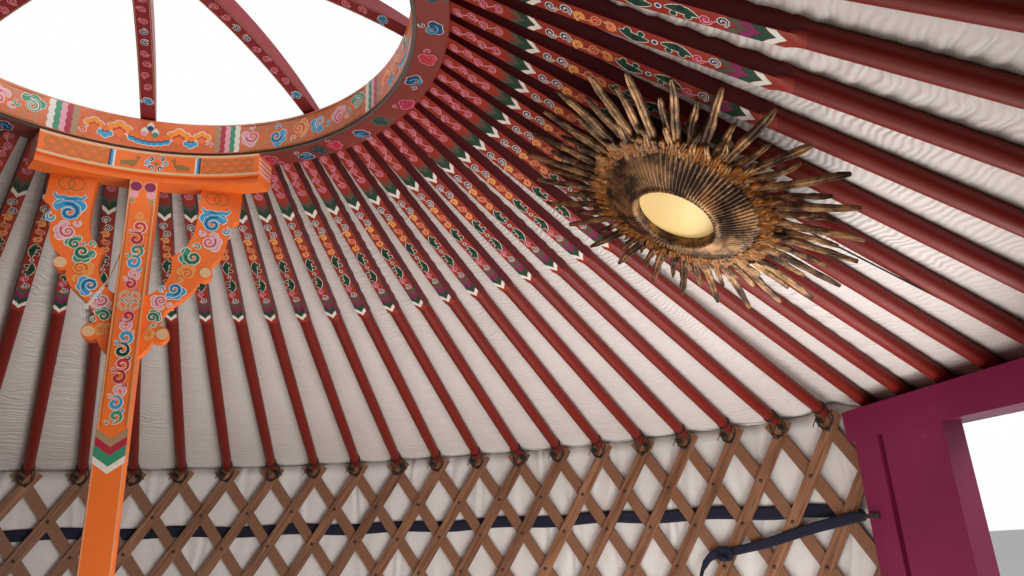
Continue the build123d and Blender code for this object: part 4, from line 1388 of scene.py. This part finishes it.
    def bracket_face(self, scrolls, shift):
        drawn = Ornament()
        top = 0.222 + shift
        for side in (-1, 1):
            drawn.circle((top + side * 0.015, 2.578), 0.024, 0.0026, "gold", 1)
            whisker = [(top - 0.002, 2.520), (top + side * 0.018, 2.526),
                       (top + side * 0.036, 2.523), (top + side * 0.046, 2.533),
                       (top + side * 0.042, 2.541)]
            for colour, extra, layer in (("white", 0.0044, 1), ("blue", 0.0, 2)):
                widths = [width + extra for width in (0.006, 0.014, 0.012, 0.008, 0.004)]
                drawn.ribbon(whisker, widths, colour, layer)
        for number, (across, height, size, look, hand) in enumerate(scrolls):
            drawn.scroll((across, height), size * 1.10, self.looks[look], hand,
                         0.9 * number + 0.4, 1 + 6 * (number % 2), 0.0032)
        for spot in ((0.220 + shift * 0.3, 2.288), (0.110, 2.056)):
            drawn.disc(spot, 0.0190, "sand", 13)
        return drawn

    def beam_face(self):
        drawn = Ornament()
        sizes = tent()
        reach = sizes.beam_angle / 2 * sizes.ring_inner
        for row, width in ((0.006, 0.009), (0.080, 0.009)):
            path = [(turn, row) for turn in np.linspace(-reach, reach, 25)]
            drawn.ribbon(path, width, "sand", 1)
        edge = math.radians(10.0) * sizes.ring_inner
        for side in (-1, 1):
            for shift, colour in ((0.0, "white"), (0.006, "blue"), (0.013, "navy")):
                at = side * (edge + shift)
                drawn.ribbon([(at, 0.012), (at, 0.044), (at, 0.076)], 0.0065, colour, 1)
            self.beast(drawn, side)
            for lobe in range(3):
                drawn.curl((side * (0.017 + 0.014 * (lobe % 2)), 0.025 + lobe * 0.019), 0.0145,
                           "blue" if lobe == 1 else "navy", "white", 1, side, lobe, 0.9, 8, 0.5,
                           0.15)
            self.hatch(drawn, side, edge + 0.020, reach - 0.006)
        drawn.disc((0.0, 0.046), 0.006, "gold", 2)
        return drawn

    def beast(self, drawn, side):
        """A small reclining hoofed animal in gold, looking back at the middle."""
        at = side * 0.082
        body = [(at + side * 0.030, 0.056), (at, 0.053), (at - side * 0.020, 0.049)]
        drawn.ribbon(body, [0.012, 0.021, 0.012], "gold", 2)
        neck = [(at - side * 0.016, 0.049), (at - side * 0.023, 0.036), (at - side * 0.022, 0.026)]
        drawn.ribbon(neck, [0.010, 0.007, 0.006], "gold", 2)
        head = [(at - side * 0.018, 0.025), (at - side * 0.032, 0.029)]
        drawn.ribbon(head, [0.009, 0.003], "gold", 3)
        for leg in (-0.014, 0.018):
            path = [(at + side * leg, 0.060), (at + side * (leg + 0.012), 0.068)]
            drawn.ribbon(path, [0.005, 0.003], "gold", 2)

    def hatch(self, drawn, side, start, end):
        """Blocks of slanted gold strokes that lean one way and then the other."""
        block, rows = 0.021, 3
        for number in range(int((end - start) / block)):
            for row in range(rows):
                lean = (-1) ** (number + row)
                for stroke in range(3):
                    at = start + (number + 0.17 + stroke * 0.33) * block
                    low = 0.016 + row * 0.0205
                    path = [(side * (at - lean * 0.006), low),
                            (side * (at + lean * 0.006), low + 0.017)]
                    drawn.ribbon(path, 0.0021, "gold", 1)

    def beam_end(self):
        """A lattice of pale lines with a white edge."""
        drawn = Ornament()
        for number in range(5):
            at = 0.012 + number * 0.017
            for lean in (-1, 1):
                path = [(at - lean * 0.008 + 0.006, 0.008), (at + lean * 0.008 + 0.006, 0.080)]
                drawn.ribbon(path, 0.0028, "pink", 1)
        for number in range(4):
            row = 0.016 + number * 0.018
            drawn.ribbon([(0.006, row), (0.100, row)], 0.0026, "white", 2)
        return drawn


class TENT_OT_bolt_lattice(bpy.types.Operator):
    """Leather bolts where the laths cross and cord ties at the pole feet"""
    bl_idname = "tent.bolt_lattice"
    bl_label = "Bolt Lattice"

    def execute(self, context):
        sizes = context.scene.tent_sizes
        rows = 10
        for row in range(rows):
            half = row % 2
            piece = new_piece(f"lath_bolts_{row + 1}", *self.bolt(row), "iron", "lath_wood",
                              recalc=False)
            count = sizes.head_count - half
            first = first_head() + half * wall_pitch() / 2
            repeat_round_crown(piece, "iron", count, first, wall_pitch())
        for kind in range(3):
            tie = new_piece(f"pole_foot_ties_{kind + 1}", *self.tie(kind), "black_cord",
                            "black_cord", recalc=False)
            first = first_head() + kind * wall_pitch()
            repeat_round_crown(tie, "black_cord", sizes.head_count // 3, first, 3 * wall_pitch())
        return {"FINISHED"}

    def bolt(self, row):
        sizes = tent()
        height = max(sizes.head_height - row * sizes.row_height, 0.035)
        profile = ((0.0002, 0.0085), (0.003, 0.009), (0.006, 0.0065), (0.0075, 0.002))
        sides = 8
        parts = []
        for side in (-1, 1):
            face = sizes.wall_radius + side * 0.012
            rings = []
            for out, radius in profile:
                turn = full_turn(sides)
                rings.append(np.stack([np.full(sides, face + side * out), radius * np.cos(turn),
                                       height + radius * np.sin(turn)], 1))
            parts.append((np.concatenate(rings), ring_faces(len(profile), sides)))
        return gather(parts)

    def tie(self, kind):
        """A cord round a pole's foot, a loop over the lath heads, and a knot with two ends."""
        sizes = tent()
        chance = np.random.default_rng(20 + kind)
        side = (1, -1, 1)[kind]
        along, up = pole_ways(wall_slope())
        foot = np.array((sizes.wall_radius - 0.062, 0, sizes.pole_at_wall + 0.033))
        turn = full_turn(12)
        parts = []
        for wrap in range(2):
            slip = along * wrap * 0.009
            ring = (sizes.pole_round + 0.002) * np.stack([np.cos(turn), np.sin(turn)], 1)
            path = foot + slip + ring[:, :1] * np.array((0, 1, 0)) + ring[:, 1:] * up
            parts.append(tube(path, 0.0026, 5, closed=True))
        front = sizes.wall_radius - 0.016
        for loop in range(2):
            tall = chance.uniform(0.040, 0.056)
            lean = chance.uniform(-0.012, 0.012)
            across = (0.040 - 0.010 * loop) * np.cos(turn) + lean * np.sin(turn) + side * 0.006
            drop = sizes.pole_at_wall - 0.012 - 0.010 * loop + tall * np.sin(turn)
            out = front - 0.005 * loop - 0.022 * np.clip(np.sin(turn), 0, 1)
            parts.append(tube(np.stack([out, across, drop], 1), 0.0025, 5, closed=True))
        spot = np.array((front - 0.010, side * 0.026, sizes.pole_at_wall - 0.022))
        for number in range(3):
            bend = 0.008 * np.stack([0.6 * np.sin(turn + number), np.cos(turn + 2 * number),
                                     np.sin(turn)], 1)
            parts.append(tube(spot + bend * (1 + 0.2 * number), 0.0028, 5, closed=True))
        for way, length in ((side, 0.046), (side * 0.35, 0.034)):
            share = np.linspace(0, 1, 6)[:, None]
            end = np.array((-0.004, way * 0.8, -1 + 0.5 * abs(way))) * length
            bow = np.array((-0.006, 0, 0.010)) * np.sin(share * math.pi)
            parts.append(tube(spot + share * end + bow, 0.0022, 5))
        return gather(parts)


class TENT_OT_hang_linings(bpy.types.Operator):
    """Gathered cotton under the roof felt and behind the lattice"""
    bl_idname = "tent.hang_linings"
    bl_label = "Hang Linings"

    def execute(self, context):
        self.roof()
        self.wall()
        return {"FINISHED"}

    def roof(self):
        sizes = tent()
        bays = sizes.head_count + sizes.door_poles
        per_bay = 6
        angles = []
        first, wide = first_head(), wall_pitch()
        for bay in range(sizes.head_count - 1):
            angles += [first + (bay + part / per_bay) * wide for part in range(per_bay)]
        start = first + (sizes.head_count - 1) * wide
        narrow = door_pitch()
        for bay in range(sizes.door_poles + 1):
            angles += [start + (bay + part / per_bay) * narrow for part in range(per_bay)]
        angle = np.array(angles)
        bay_share = np.tile(np.arange(per_bay) / per_bay, bays)
        bay_number = np.repeat(np.arange(bays), per_bay)
        rows = 84
        share = np.linspace(0, 1, rows)[:, None]
        reach = cloth_edge(angle, LINING_REACH, FRAME_BACK - 0.002)
        radius = (RING_OUTER + 0.003) * (1 - share) + reach * share
        chance = np.random.default_rng(7)
        puffy = chance.random(bays)[bay_number]
        phase = chance.random(bays)[bay_number] * 6.3
        waves = chance.integers(26, 44, bays)[bay_number]
        between = np.sin(bay_share * math.pi) ** 0.8
        sag = 0.016 * between * (0.4 + 0.6 * np.sin(share * math.pi))
        fold = np.sin(share * waves * 2 * math.pi + phase + 0.8 * np.sin(share * 19 + phase))
        fold = fold * 0.006 * between * np.where(puffy > 0.45, 1.0, 0.3)
        lift = 0.0022 - np.minimum(sag, 0.02) + fold
        height = roof_height(radius, angle, lift)
        front = around(radius, angle, height)
        back = front + np.array((0, 0, 0.0012))
        piece = new_piece("roof_lining", *shell(front, back, wrap=True), "roof_lining",
                          "liner_cloth")
        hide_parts("roof_liner", "front_liner")
        declare_sheet(front, (5.9, 5.9))

    def wall(self):
        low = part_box("wall_liner")[0]
        angle, share, top = wall_grid(LINING_REACH, 460, 30, LINING_REACH, -0.004, 0.004)
        height = low.z + (top - low.z) * share
        hang = np.sin(angle * 96 + 1.3 * np.sin(angle * 17) + 0.9 * np.sin(height * 4))
        ruck = np.sin(height * 46 + 3 * np.sin(angle * 23)) * (0.5 + 0.5 * np.sin(angle * 11))
        out = 2.8232 + 0.0016 * hang * share ** 0.5 + 0.0011 * ruck
        front = around(out, angle, height)
        piece = new_piece("wall_lining", *shell(front, around(out + 0.001, angle, height)),
                          "wall_lining", "liner_cloth")
        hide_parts("wall_liner")
        declare_sheet(front, (15.6, 1.85))


def declare_sheet(grid, flat):
    """Works out a cloth's width from the area of its own grid of points, and does nothing with it.
    """
    across = grid[:, 1:] - grid[:, :-1]
    down = grid[1:] - grid[:-1]
    area = np.linalg.norm(np.cross(across[:-1], down[:, :-1]), axis=2).sum()
    width = max(flat[0], area / flat[1])


class TENT_OT_lay_covers(bpy.types.Operator):
    """Felt under white canvas outside, with its belts"""
    bl_idname = "tent.lay_covers"
    bl_label = "Lay Covers"

    def execute(self, context):
        self.roof()
        self.wall()
        self.belts()
        return {"FINISHED"}

    def roof(self):
        columns, rows = 360, 36
        angle = np.linspace(0, 2 * math.pi, columns, endpoint=False)[None, :]
        reach_in = cloth_edge(angle, 2.8496, FRAME_BACK + 0.0003)
        reach_out = cloth_edge(angle, CANVAS_REACH, CANVAS_FRONT)
        share = np.linspace(0, 1, rows)[:, None]
        wave = self.puff(angle, share)
        under_radius = (RING_OUTER + 0.002) * (1 - share) + reach_in * share
        over_radius = (RING_OUTER + 0.002) * (1 - share) + reach_out * share
        under = self.skin(under_radius, angle, 0.0055)
        over = self.skin(over_radius, angle, 0.027 + wave - 0.003)
        drop = np.linspace(0, 1, 9)[1:, None]
        hem = EAVE_HEIGHT + 0.004 * np.sin(angle * 60)
        flap_in = self.flap(reach_in, angle, under[-1, :, 2], hem, drop)
        flap_out = self.flap(reach_out, angle, over[-1, :, 2], hem, drop)
        skin = shell(np.concatenate([over, flap_out]), np.concatenate([under, flap_in]), wrap=True)
        piece = new_piece("roof_canvas", *skin, "canvas", "cover_canvas")
        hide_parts("roof_cover_1", "roof_cover_2", "roof_cover_3", "roof_cover_4",
                    "front_cover")
        self.seams(angle, reach_out, hem)

    def puff(self, angle, share):
        """How the felt under the canvas lifts it here and there."""
        return (0.0025 * np.sin(angle * 41 + 2 * np.sin(share * 9)) * share
                + 0.002 * np.sin(angle * 13 + share * 14))

    def seams(self, whole_turn, reach, hem):
        """Sewn strips down the roof canvas, and a hem round the lower edge of its eave."""
        share = np.linspace(0, 1, 26)[:, None]
        parts = []
        for number in range(18):
            middle = (number + 0.5) * math.pi / 9
            far = cloth_edge(np.array([[middle]]), CANVAS_REACH, CANVAS_FRONT)
            radius = (RING_OUTER + 0.004) * (1 - share) + far * share
            angle = middle + np.array([[-0.016, 0.0, 0.016]]) / radius
            radius = np.broadcast_to(radius, angle.shape)
            lift = 0.024 + self.puff(angle, share)
            parts.append(shell(self.skin(radius, angle, lift + 0.0014),
                               self.skin(radius, angle, lift - 0.002)))
        rows = hem + np.array([[0.006], [0.036]])
        parts.append(shell(around(reach + 0.0014, whole_turn, rows),
                           around(reach - 0.001, whole_turn, rows), wrap=True))
        new_piece("canvas_seams", *gather(parts), "canvas_seam", "cover_canvas")

    def skin(self, radius, angle, lift):
        height = roof_height(radius, np.broadcast_to(angle, radius.shape), lift)
        return around(radius, angle, height)

    def flap(self, reach, angle, top, hem, drop):
        return around(reach, angle, top[None, :] * (1 - drop) + hem * drop)

    def wall(self):
        angle, share, top = wall_grid(2.8243, 360, 24, 2.836, -0.010, 0.02)
        height = 0.001 + (top - 0.001) * share
        wave = 0.0035 * np.sin(angle * 47 + 1.6 * np.sin(angle * 9) + height * 1.5)
        wave = wave + 0.0015 * np.sin(angle * 160 + 5 * np.sin(height * 6))
        out = 2.8455 + wave * np.sin(share * math.pi) ** 0.4
        skin = shell(around(out, angle, height), around(2.8262, angle, height))
        piece = new_piece("wall_canvas", *skin, "canvas", "cover_canvas")
        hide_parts("wall_cover_1", "wall_cover_2", "wall_cover_3", "wall_cover_4")

    def belts(self):
        first = -math.acos(1.203 / 2.8243)
        angle = np.linspace(first, math.pi - first, 400)
        parts = []
        for height in (0.33, 0.90, 1.47):
            parts.append(self.band(angle, 2.8497, height, 0.062, 0.0028))
        outer = new_piece("wall_belts", *gather(parts), "hair_webbing", "white_webbing")
        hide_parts("outer_belts")
        self.lattice_belt()

    # Angle from the door's middle, height of the belt's middle there
    belt_line = ((26.6, 1.345), (27.6, 1.348), (29.5, 1.353), (34.2, 1.376), (56.1, 1.395),
                 (80.5, 1.399), (103.6, 1.423), (122.0, 1.449), (180.0, 1.452))

    # Degrees round the crown, height, reach and width along the strap and along its loose end
    straps = (
        ((-63.36, 1.338, 2.7005, 0.016), (-62.4, 1.342, 2.742, 0.034),
         (-61.1, 1.340, 2.776, 0.044), (-57.0, 1.303, 2.7800, 0.046),
         (-52.4, 1.247, 2.7805, 0.044), (-49.2, 1.216, 2.7805, 0.038),
         (-47.9, 1.206, 2.7805, 0.026)),
        ((-48.3, 1.196, 2.7790, 0.030), (-47.4, 1.208, 2.7750, 0.040),
         (-46.3, 1.192, 2.7745, 0.044), (-45.4, 1.150, 2.7770, 0.046),
         (-44.9, 1.100, 2.7790, 0.046), (-44.6, 1.040, 2.7795, 0.046)))

    def lattice_belt(self):
        """Runs behind the laths, comes forward beside the door and narrows over its hooks."""
        end, beside = math.radians(-63.42), -1.045
        angle = np.concatenate([np.linspace(end, beside, 26)[:-1],
                                np.linspace(beside, math.pi - beside, 380),
                                np.linspace(math.pi - end, math.pi - beside, 26)[:-1][::-1]])
        away = np.degrees(np.abs(np.angle(np.exp(1j * (angle + math.pi / 2)))))
        turns, heights = zip(*self.belt_line)
        height = np.interp(away, turns, heights) + 0.003 * np.sin(angle * 29)
        width = np.interp(away, (26.5, 27.2, 31.0, 34.0), (0.017, 0.026, 0.052, 0.060))
        radius = np.interp(away, (26.58, 28.0, 28.9), (2.7040, 2.7880, 2.8126))
        parts = [self.band(angle, radius, height, width, 0.0024)]
        for hand in (1, -1):
            parts += [self.strap(run, hand) for run in self.straps]
            turn = np.linspace(0, 2 * math.pi, 17)[:-1]
            for lean in (0.4, -0.5):
                across, rise = 0.030 * np.cos(turn), 0.026 * np.sin(turn)
                middle = math.radians(-47.9) + (across - lean * rise) / 2.77
                middle = middle if hand > 0 else math.pi - middle
                out = 2.7715 + 0.006 * np.sin(turn * 2 + lean)
                parts.append(tube(around(out, middle, 1.203 + rise), 0.0085, 7, closed=True))
        inner = new_piece("lattice_belt", *gather(parts), "navy_webbing", "navy_webbing")
        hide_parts("inner_belt")

    def strap(self, run, hand):
        degrees, *others = zip(*run)
        steps, whole = np.linspace(0, len(run) - 1, 40), np.arange(len(run))
        angle, height, radius, width = (np.interp(steps, whole, values)
                                        for values in (np.radians(degrees), *others))
        angle = angle if hand > 0 else math.pi - angle
        return self.band(angle, radius, height, width, 0.0022, 0.0)

    def band(self, angle, radius, height, width, thickness, wave=1.0):
        rows = np.linspace(-0.5, 0.5, 5)[:, None] * width
        level = height + wave * (0.006 * np.sin(angle * 3.3) + 0.003 * np.sin(angle * 29))
        ripple = 0.0004 * np.sin(angle * 60)
        return shell(around(radius + ripple, angle, rows + level),
                     around(radius + thickness, angle, rows + level))


class TENT_OT_hang_lamp(bpy.types.Operator):
    """Carved sunburst rays, a fluted rim and a glowing glass"""
    bl_idname = "tent.hang_lamp"
    bl_label = "Hang Lamp"

    def execute(self, context):
        axes = self.axes()
        self.rays(axes)
        self.rim(axes)
        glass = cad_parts["lamp_glass"]
        glass.data.materials.clear()
        glass.data.materials.append(material("lamp_glow"))
        return {"FINISHED"}

    def axes(self):
        """The lamp's own directions, from the flat back of its glass."""
        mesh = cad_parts["lamp_glass"].data
        points = np.array([vertex.co for vertex in mesh.vertices]) - np.array(CENTRE)
        low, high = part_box("lamp_glass")
        middle = np.array((low + high) / 2 - CENTRE)
        largest, normal = 0.0, None
        for face in mesh.polygons:
            if face.area > largest:
                largest, normal = face.area, np.array(face.normal)
        normal = normal if normal[2] < 0 else -normal
        depth = points @ normal
        back = middle + normal * (depth.min() - middle @ normal)
        side = np.cross(normal, (0, 0, 1))
        side /= np.linalg.norm(side)
        return back, side, np.cross(normal, side), normal

    # How each kind of ray differs: reach, width, level over the lamp's back, waviness
    ray_kinds = ((0.506, 0.027, 0.004, 0.3), (0.345, 0.021, 0.013, 1.0),
                 (0.440, 0.022, 0.000, 0.5), (0.310, 0.020, 0.015, 1.2))

    def rays(self, axes):
        chance = np.random.default_rng(11)
        count = 104
        parts = []
        for number in range(count):
            turn = number * 2 * math.pi / count + chance.uniform(-0.014, 0.014)
            reach, width, level, sway = self.ray_kinds[number % 4]
            reach *= chance.uniform(0.88, 1.0) if number % 4 else chance.uniform(0.94, 1.01)
            parts.append(self.ray(turn, reach, width, level, sway, chance))
        piece = self.burst("lamp_sunburst", parts, axes, "lamp_bronze")
        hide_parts("lamp_rays")
        chips = []
        count = 96
        for number in range(count):
            turn = number * 2 * math.pi / count + chance.uniform(-0.02, 0.02)
            reach = chance.uniform(0.262, 0.292)
            chips.append(self.ray(turn, reach, 0.019, 0.013, 0.2, chance, 0.232, 6))
        self.burst("lamp_gilt_chips", chips, axes, "rust_gilt")

    def burst(self, name, rays, axes, look):
        back, side, up, normal = axes
        points, faces = gather(rays)
        world = back + points[:, :1] * side + points[:, 1:2] * up + points[:, 2:] * normal
        return new_piece(name, world, faces, look, "lamp_bronze", smooth=False)

    def ray(self, turn, reach, width, level, sway, chance, start=0.15, stations=15):
        """A rough stick with splintered ridges, broad for most of its length."""
        share = np.linspace(0, 1, stations)
        along = start + (reach - start) * share
        bend = 0.006 * sway * np.sin(share * 11 + chance.uniform(0, 6)) * share
        bend = bend + chance.uniform(-0.010, 0.010) * share ** 2
        taper = np.interp(share, (0.0, 0.25, 0.80, 0.95, 1.0), (0.75, 1.0, 0.88, 0.62, 0.30))
        half = width / 2 * taper * (1 + chance.uniform(-0.20, 0.20, stations))
        ridges = ((-1, -0.007), (-0.9, 0.002), (-0.45, 0.0085), (0.05, 0.0035), (0.5, 0.0080),
                  (0.95, 0.000), (1, -0.007))
        rows = []
        for across, height in ridges:
            rough = height + 0.0022 * chance.uniform(-1, 1, stations)
            rows.append(np.stack([along, bend + half * across,
                                  level + rough * (1 - 0.45 * share)], 1))
        points = turn_points(np.stack(rows, 1).reshape(-1, 3), turn)
        return points, ring_faces(stations, len(ridges))

    def rim(self, axes):
        """A turned dish with fluting on its slope and beads round the glass."""
        back, side, up, normal = axes
        profile = np.array([(0.1165, 0.004), (0.1165, 0.058), (0.120, 0.0605), (0.128, 0.0605),
                            (0.131, 0.056), (0.140, 0.055), (0.160, 0.050), (0.182, 0.042),
                            (0.204, 0.032), (0.222, 0.022), (0.236, 0.012), (0.243, 0.006),
                            (0.243, 0.001), (0.18, 0.001)])
        ribs, per_rib = 96, 6
        turn = full_turn(ribs * per_rib)
        flute = np.abs(np.sin(turn * ribs / 2))
        slope = np.array([0, 0, 0, 0, 0.2, 1, 1, 1, 1, 1, 0.8, 0.3, 0, 0])
        radius = profile[:, :1] + np.zeros(len(turn))
        level = profile[:, 1:] - 0.0095 * slope[:, None] * (1 - flute)
        grid = (back + (radius * np.cos(turn))[..., None] * side
                + (radius * np.sin(turn))[..., None] * up + level[..., None] * normal)
        parts = [(grid.reshape(-1, 3), ring_faces(*radius.shape, closed=True))]
        beads = 64
        for number in range(beads):
            angle = number * 2 * math.pi / beads
            spot = (back + 0.1245 * math.cos(angle) * side + 0.1245 * math.sin(angle) * up
                    + 0.0605 * normal)
            parts.append(self.bead(spot, 0.0052))
        piece = new_piece("lamp_dish", *gather(parts), "lamp_bronze", "lamp_bronze")
        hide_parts("lamp_rim")

    def bead(self, spot, radius):
        corners = np.array([(1, 0, 0), (-1, 0, 0), (0, 1, 0), (0, -1, 0), (0, 0, 1), (0, 0, -1)])
        faces = [(0, 2, 4), (2, 1, 4), (1, 3, 4), (3, 0, 4), (2, 0, 5), (1, 2, 5), (3, 1, 5),
                 (0, 3, 5)]
        return spot + corners * radius, faces


class TENT_OT_set_stage(bpy.types.Operator):
    """Floor, soft light and the camera"""
    bl_idname = "tent.set_stage"
    bl_label = "Set Stage"

    # Name, place, direction, size, power and colour of each soft light
    lights = (
        ("crown_daylight", (0.0, 0.0, 3.45), (0, 0, -1), 0.9, 5.0, (0.95, 0.98, 1.0)),
        ("floor_bounce", (0.9, -1.1, 0.25), (0.1, 0.15, 1), 2.2, 29.0, (1.0, 0.97, 0.93)),
        ("west_bounce", (-1.25, -0.75, 0.35), (1, 0.45, 0.9), 1.4, 9.0, (1.0, 0.96, 0.90)),
        ("door_daylight", (0.2, -FRAME_FACE + 0.30, 0.95), (0.25, 1, 0.30), 1.3, 24.0,
         (0.97, 0.99, 1.0)),
        ("studio_key", (-6.0, -8.0, 7.0), (0.6, 0.8, -0.7), 5.0, 560.0, (1, 1, 1)))
    eye = (-1.5963, -0.8861, 1.3892)

    def execute(self, context):
        self.floor()
        self.light()
        self.camera(context.scene)
        context.scene.view_settings.view_transform = "Standard"
        self.shorten_paths(context.scene)
        return {"FINISHED"}

    def shorten_paths(self, scene):
        """A white room passes light on many times: fewer passes keep the render short."""
        if hasattr(scene, "cycles"):
            scene.cycles.max_bounces = 4
            scene.cycles.diffuse_bounces = 2
            scene.cycles.glossy_bounces = 2

    def floor(self):
        mesh = bpy.data.meshes.new("studio_floor")
        reach, level = 30.0, -0.002
        mesh.from_pydata([(-reach, -reach, level), (reach, -reach, level),
                          (reach, reach, level), (-reach, reach, level)], [], [(0, 1, 2, 3)])
        pale = new_material("studio_pale", Base_Color=(0.72, 0.70, 0.67), Roughness=0.9)[0]
        mesh.materials.append(pale)
        ground = bpy.data.objects.new("studio_floor", mesh)
        bpy.context.scene.collection.objects.link(ground)

    def light(self):
        world = bpy.data.worlds.new("studio_world")
        world.use_nodes = True
        bpy.context.scene.world = world
        net = Network(world.node_tree)
        background = world.node_tree.nodes["Background"]
        path = net.node("ShaderNodeLightPath").outputs
        seen = net.math("MAXIMUM", path["Is Camera Ray"],
                        net.math("MAXIMUM", path["Is Glossy Ray"], path["Is Transmission Ray"]))
        net.feed(background.inputs["Color"], net.mix(seen, (0.86, 0.90, 0.95), (1.0, 1.0, 1.0)))
        net.feed(background.inputs["Strength"], net.smooth(seen, 0.0, 1.0, 0.55, 1.0))
        for light in self.lights:
            self.lamp(*light)

    def lamp(self, name, place, direction, size, power, colour):
        data = bpy.data.lights.new(name, "AREA")
        data.shape = "DISK"
        data.size = size
        data.energy = power
        data.color = colour
        made = bpy.data.objects.new(name, data)
        made.location = Vector(place) + CENTRE
        made.rotation_euler = Vector(direction).to_track_quat("-Z", "Y").to_euler()
        made.visible_camera = False
        bpy.context.scene.collection.objects.link(made)

    def camera(self, scene):
        """Stands by the west post and looks up to the east, rolled a little."""
        yaw, pitch, roll = math.radians(94.0), math.radians(18.41), math.radians(-3.01)
        ahead = Vector((math.sin(yaw) * math.cos(pitch), math.cos(yaw) * math.cos(pitch),
                        math.sin(pitch)))
        right = Vector((math.cos(yaw), -math.sin(yaw), 0))
        up = right.cross(ahead)
        rolled_right = math.cos(roll) * right + math.sin(roll) * up
        rolled_up = math.cos(roll) * up - math.sin(roll) * right
        data = bpy.data.cameras.new("photo_view")
        data.sensor_width = 36.0
        data.lens = 24.77
        data.clip_start = 0.05
        made = bpy.data.objects.new("photo_view", data)
        turn = Matrix([[rolled_right[i], rolled_up[i], -ahead[i]] for i in range(3)]).to_4x4()
        made.matrix_world = Matrix.Translation(Vector(self.eye) + CENTRE) @ turn
        scene.collection.objects.link(made)
        scene.camera = made


class TENT_PT_panel(bpy.types.Panel):
    bl_label = "Felt Tent"
    bl_idname = "TENT_PT_panel"
    bl_space_type = "VIEW_3D"
    bl_region_type = "UI"
    bl_category = "Felt Tent"

    def draw(self, context):
        for operator in OPERATORS:
            self.layout.operator(operator.bl_idname)
        for group in (context.scene.tent_sizes, context.scene.tent_colours):
            for name in group.__annotations__:
                self.layout.prop(group, name)


OPERATORS = (
    TENT_OT_finish_woodwork, TENT_OT_turn_poles, TENT_OT_paint_poles, TENT_OT_paint_crown,
    TENT_OT_paint_posts, TENT_OT_bolt_lattice, TENT_OT_hang_linings, TENT_OT_lay_covers,
    TENT_OT_hang_lamp, TENT_OT_set_stage,
)
CLASSES = (TentSizes, TentColours, *OPERATORS, TENT_PT_panel)


def register():
    for item in CLASSES:
        bpy.utils.register_class(item)
    bpy.types.Scene.tent_sizes = bpy.props.PointerProperty(type=TentSizes)
    bpy.types.Scene.tent_colours = bpy.props.PointerProperty(type=TentColours)


def unregister():
    del bpy.types.Scene.tent_colours
    del bpy.types.Scene.tent_sizes
    for item in reversed(CLASSES):
        bpy.utils.unregister_class(item)


def main():
    register()
    for operator in OPERATORS:
        group, name = operator.bl_idname.split(".")
        getattr(getattr(bpy.ops, group), name)()


if __name__ == "__main__":
    main()
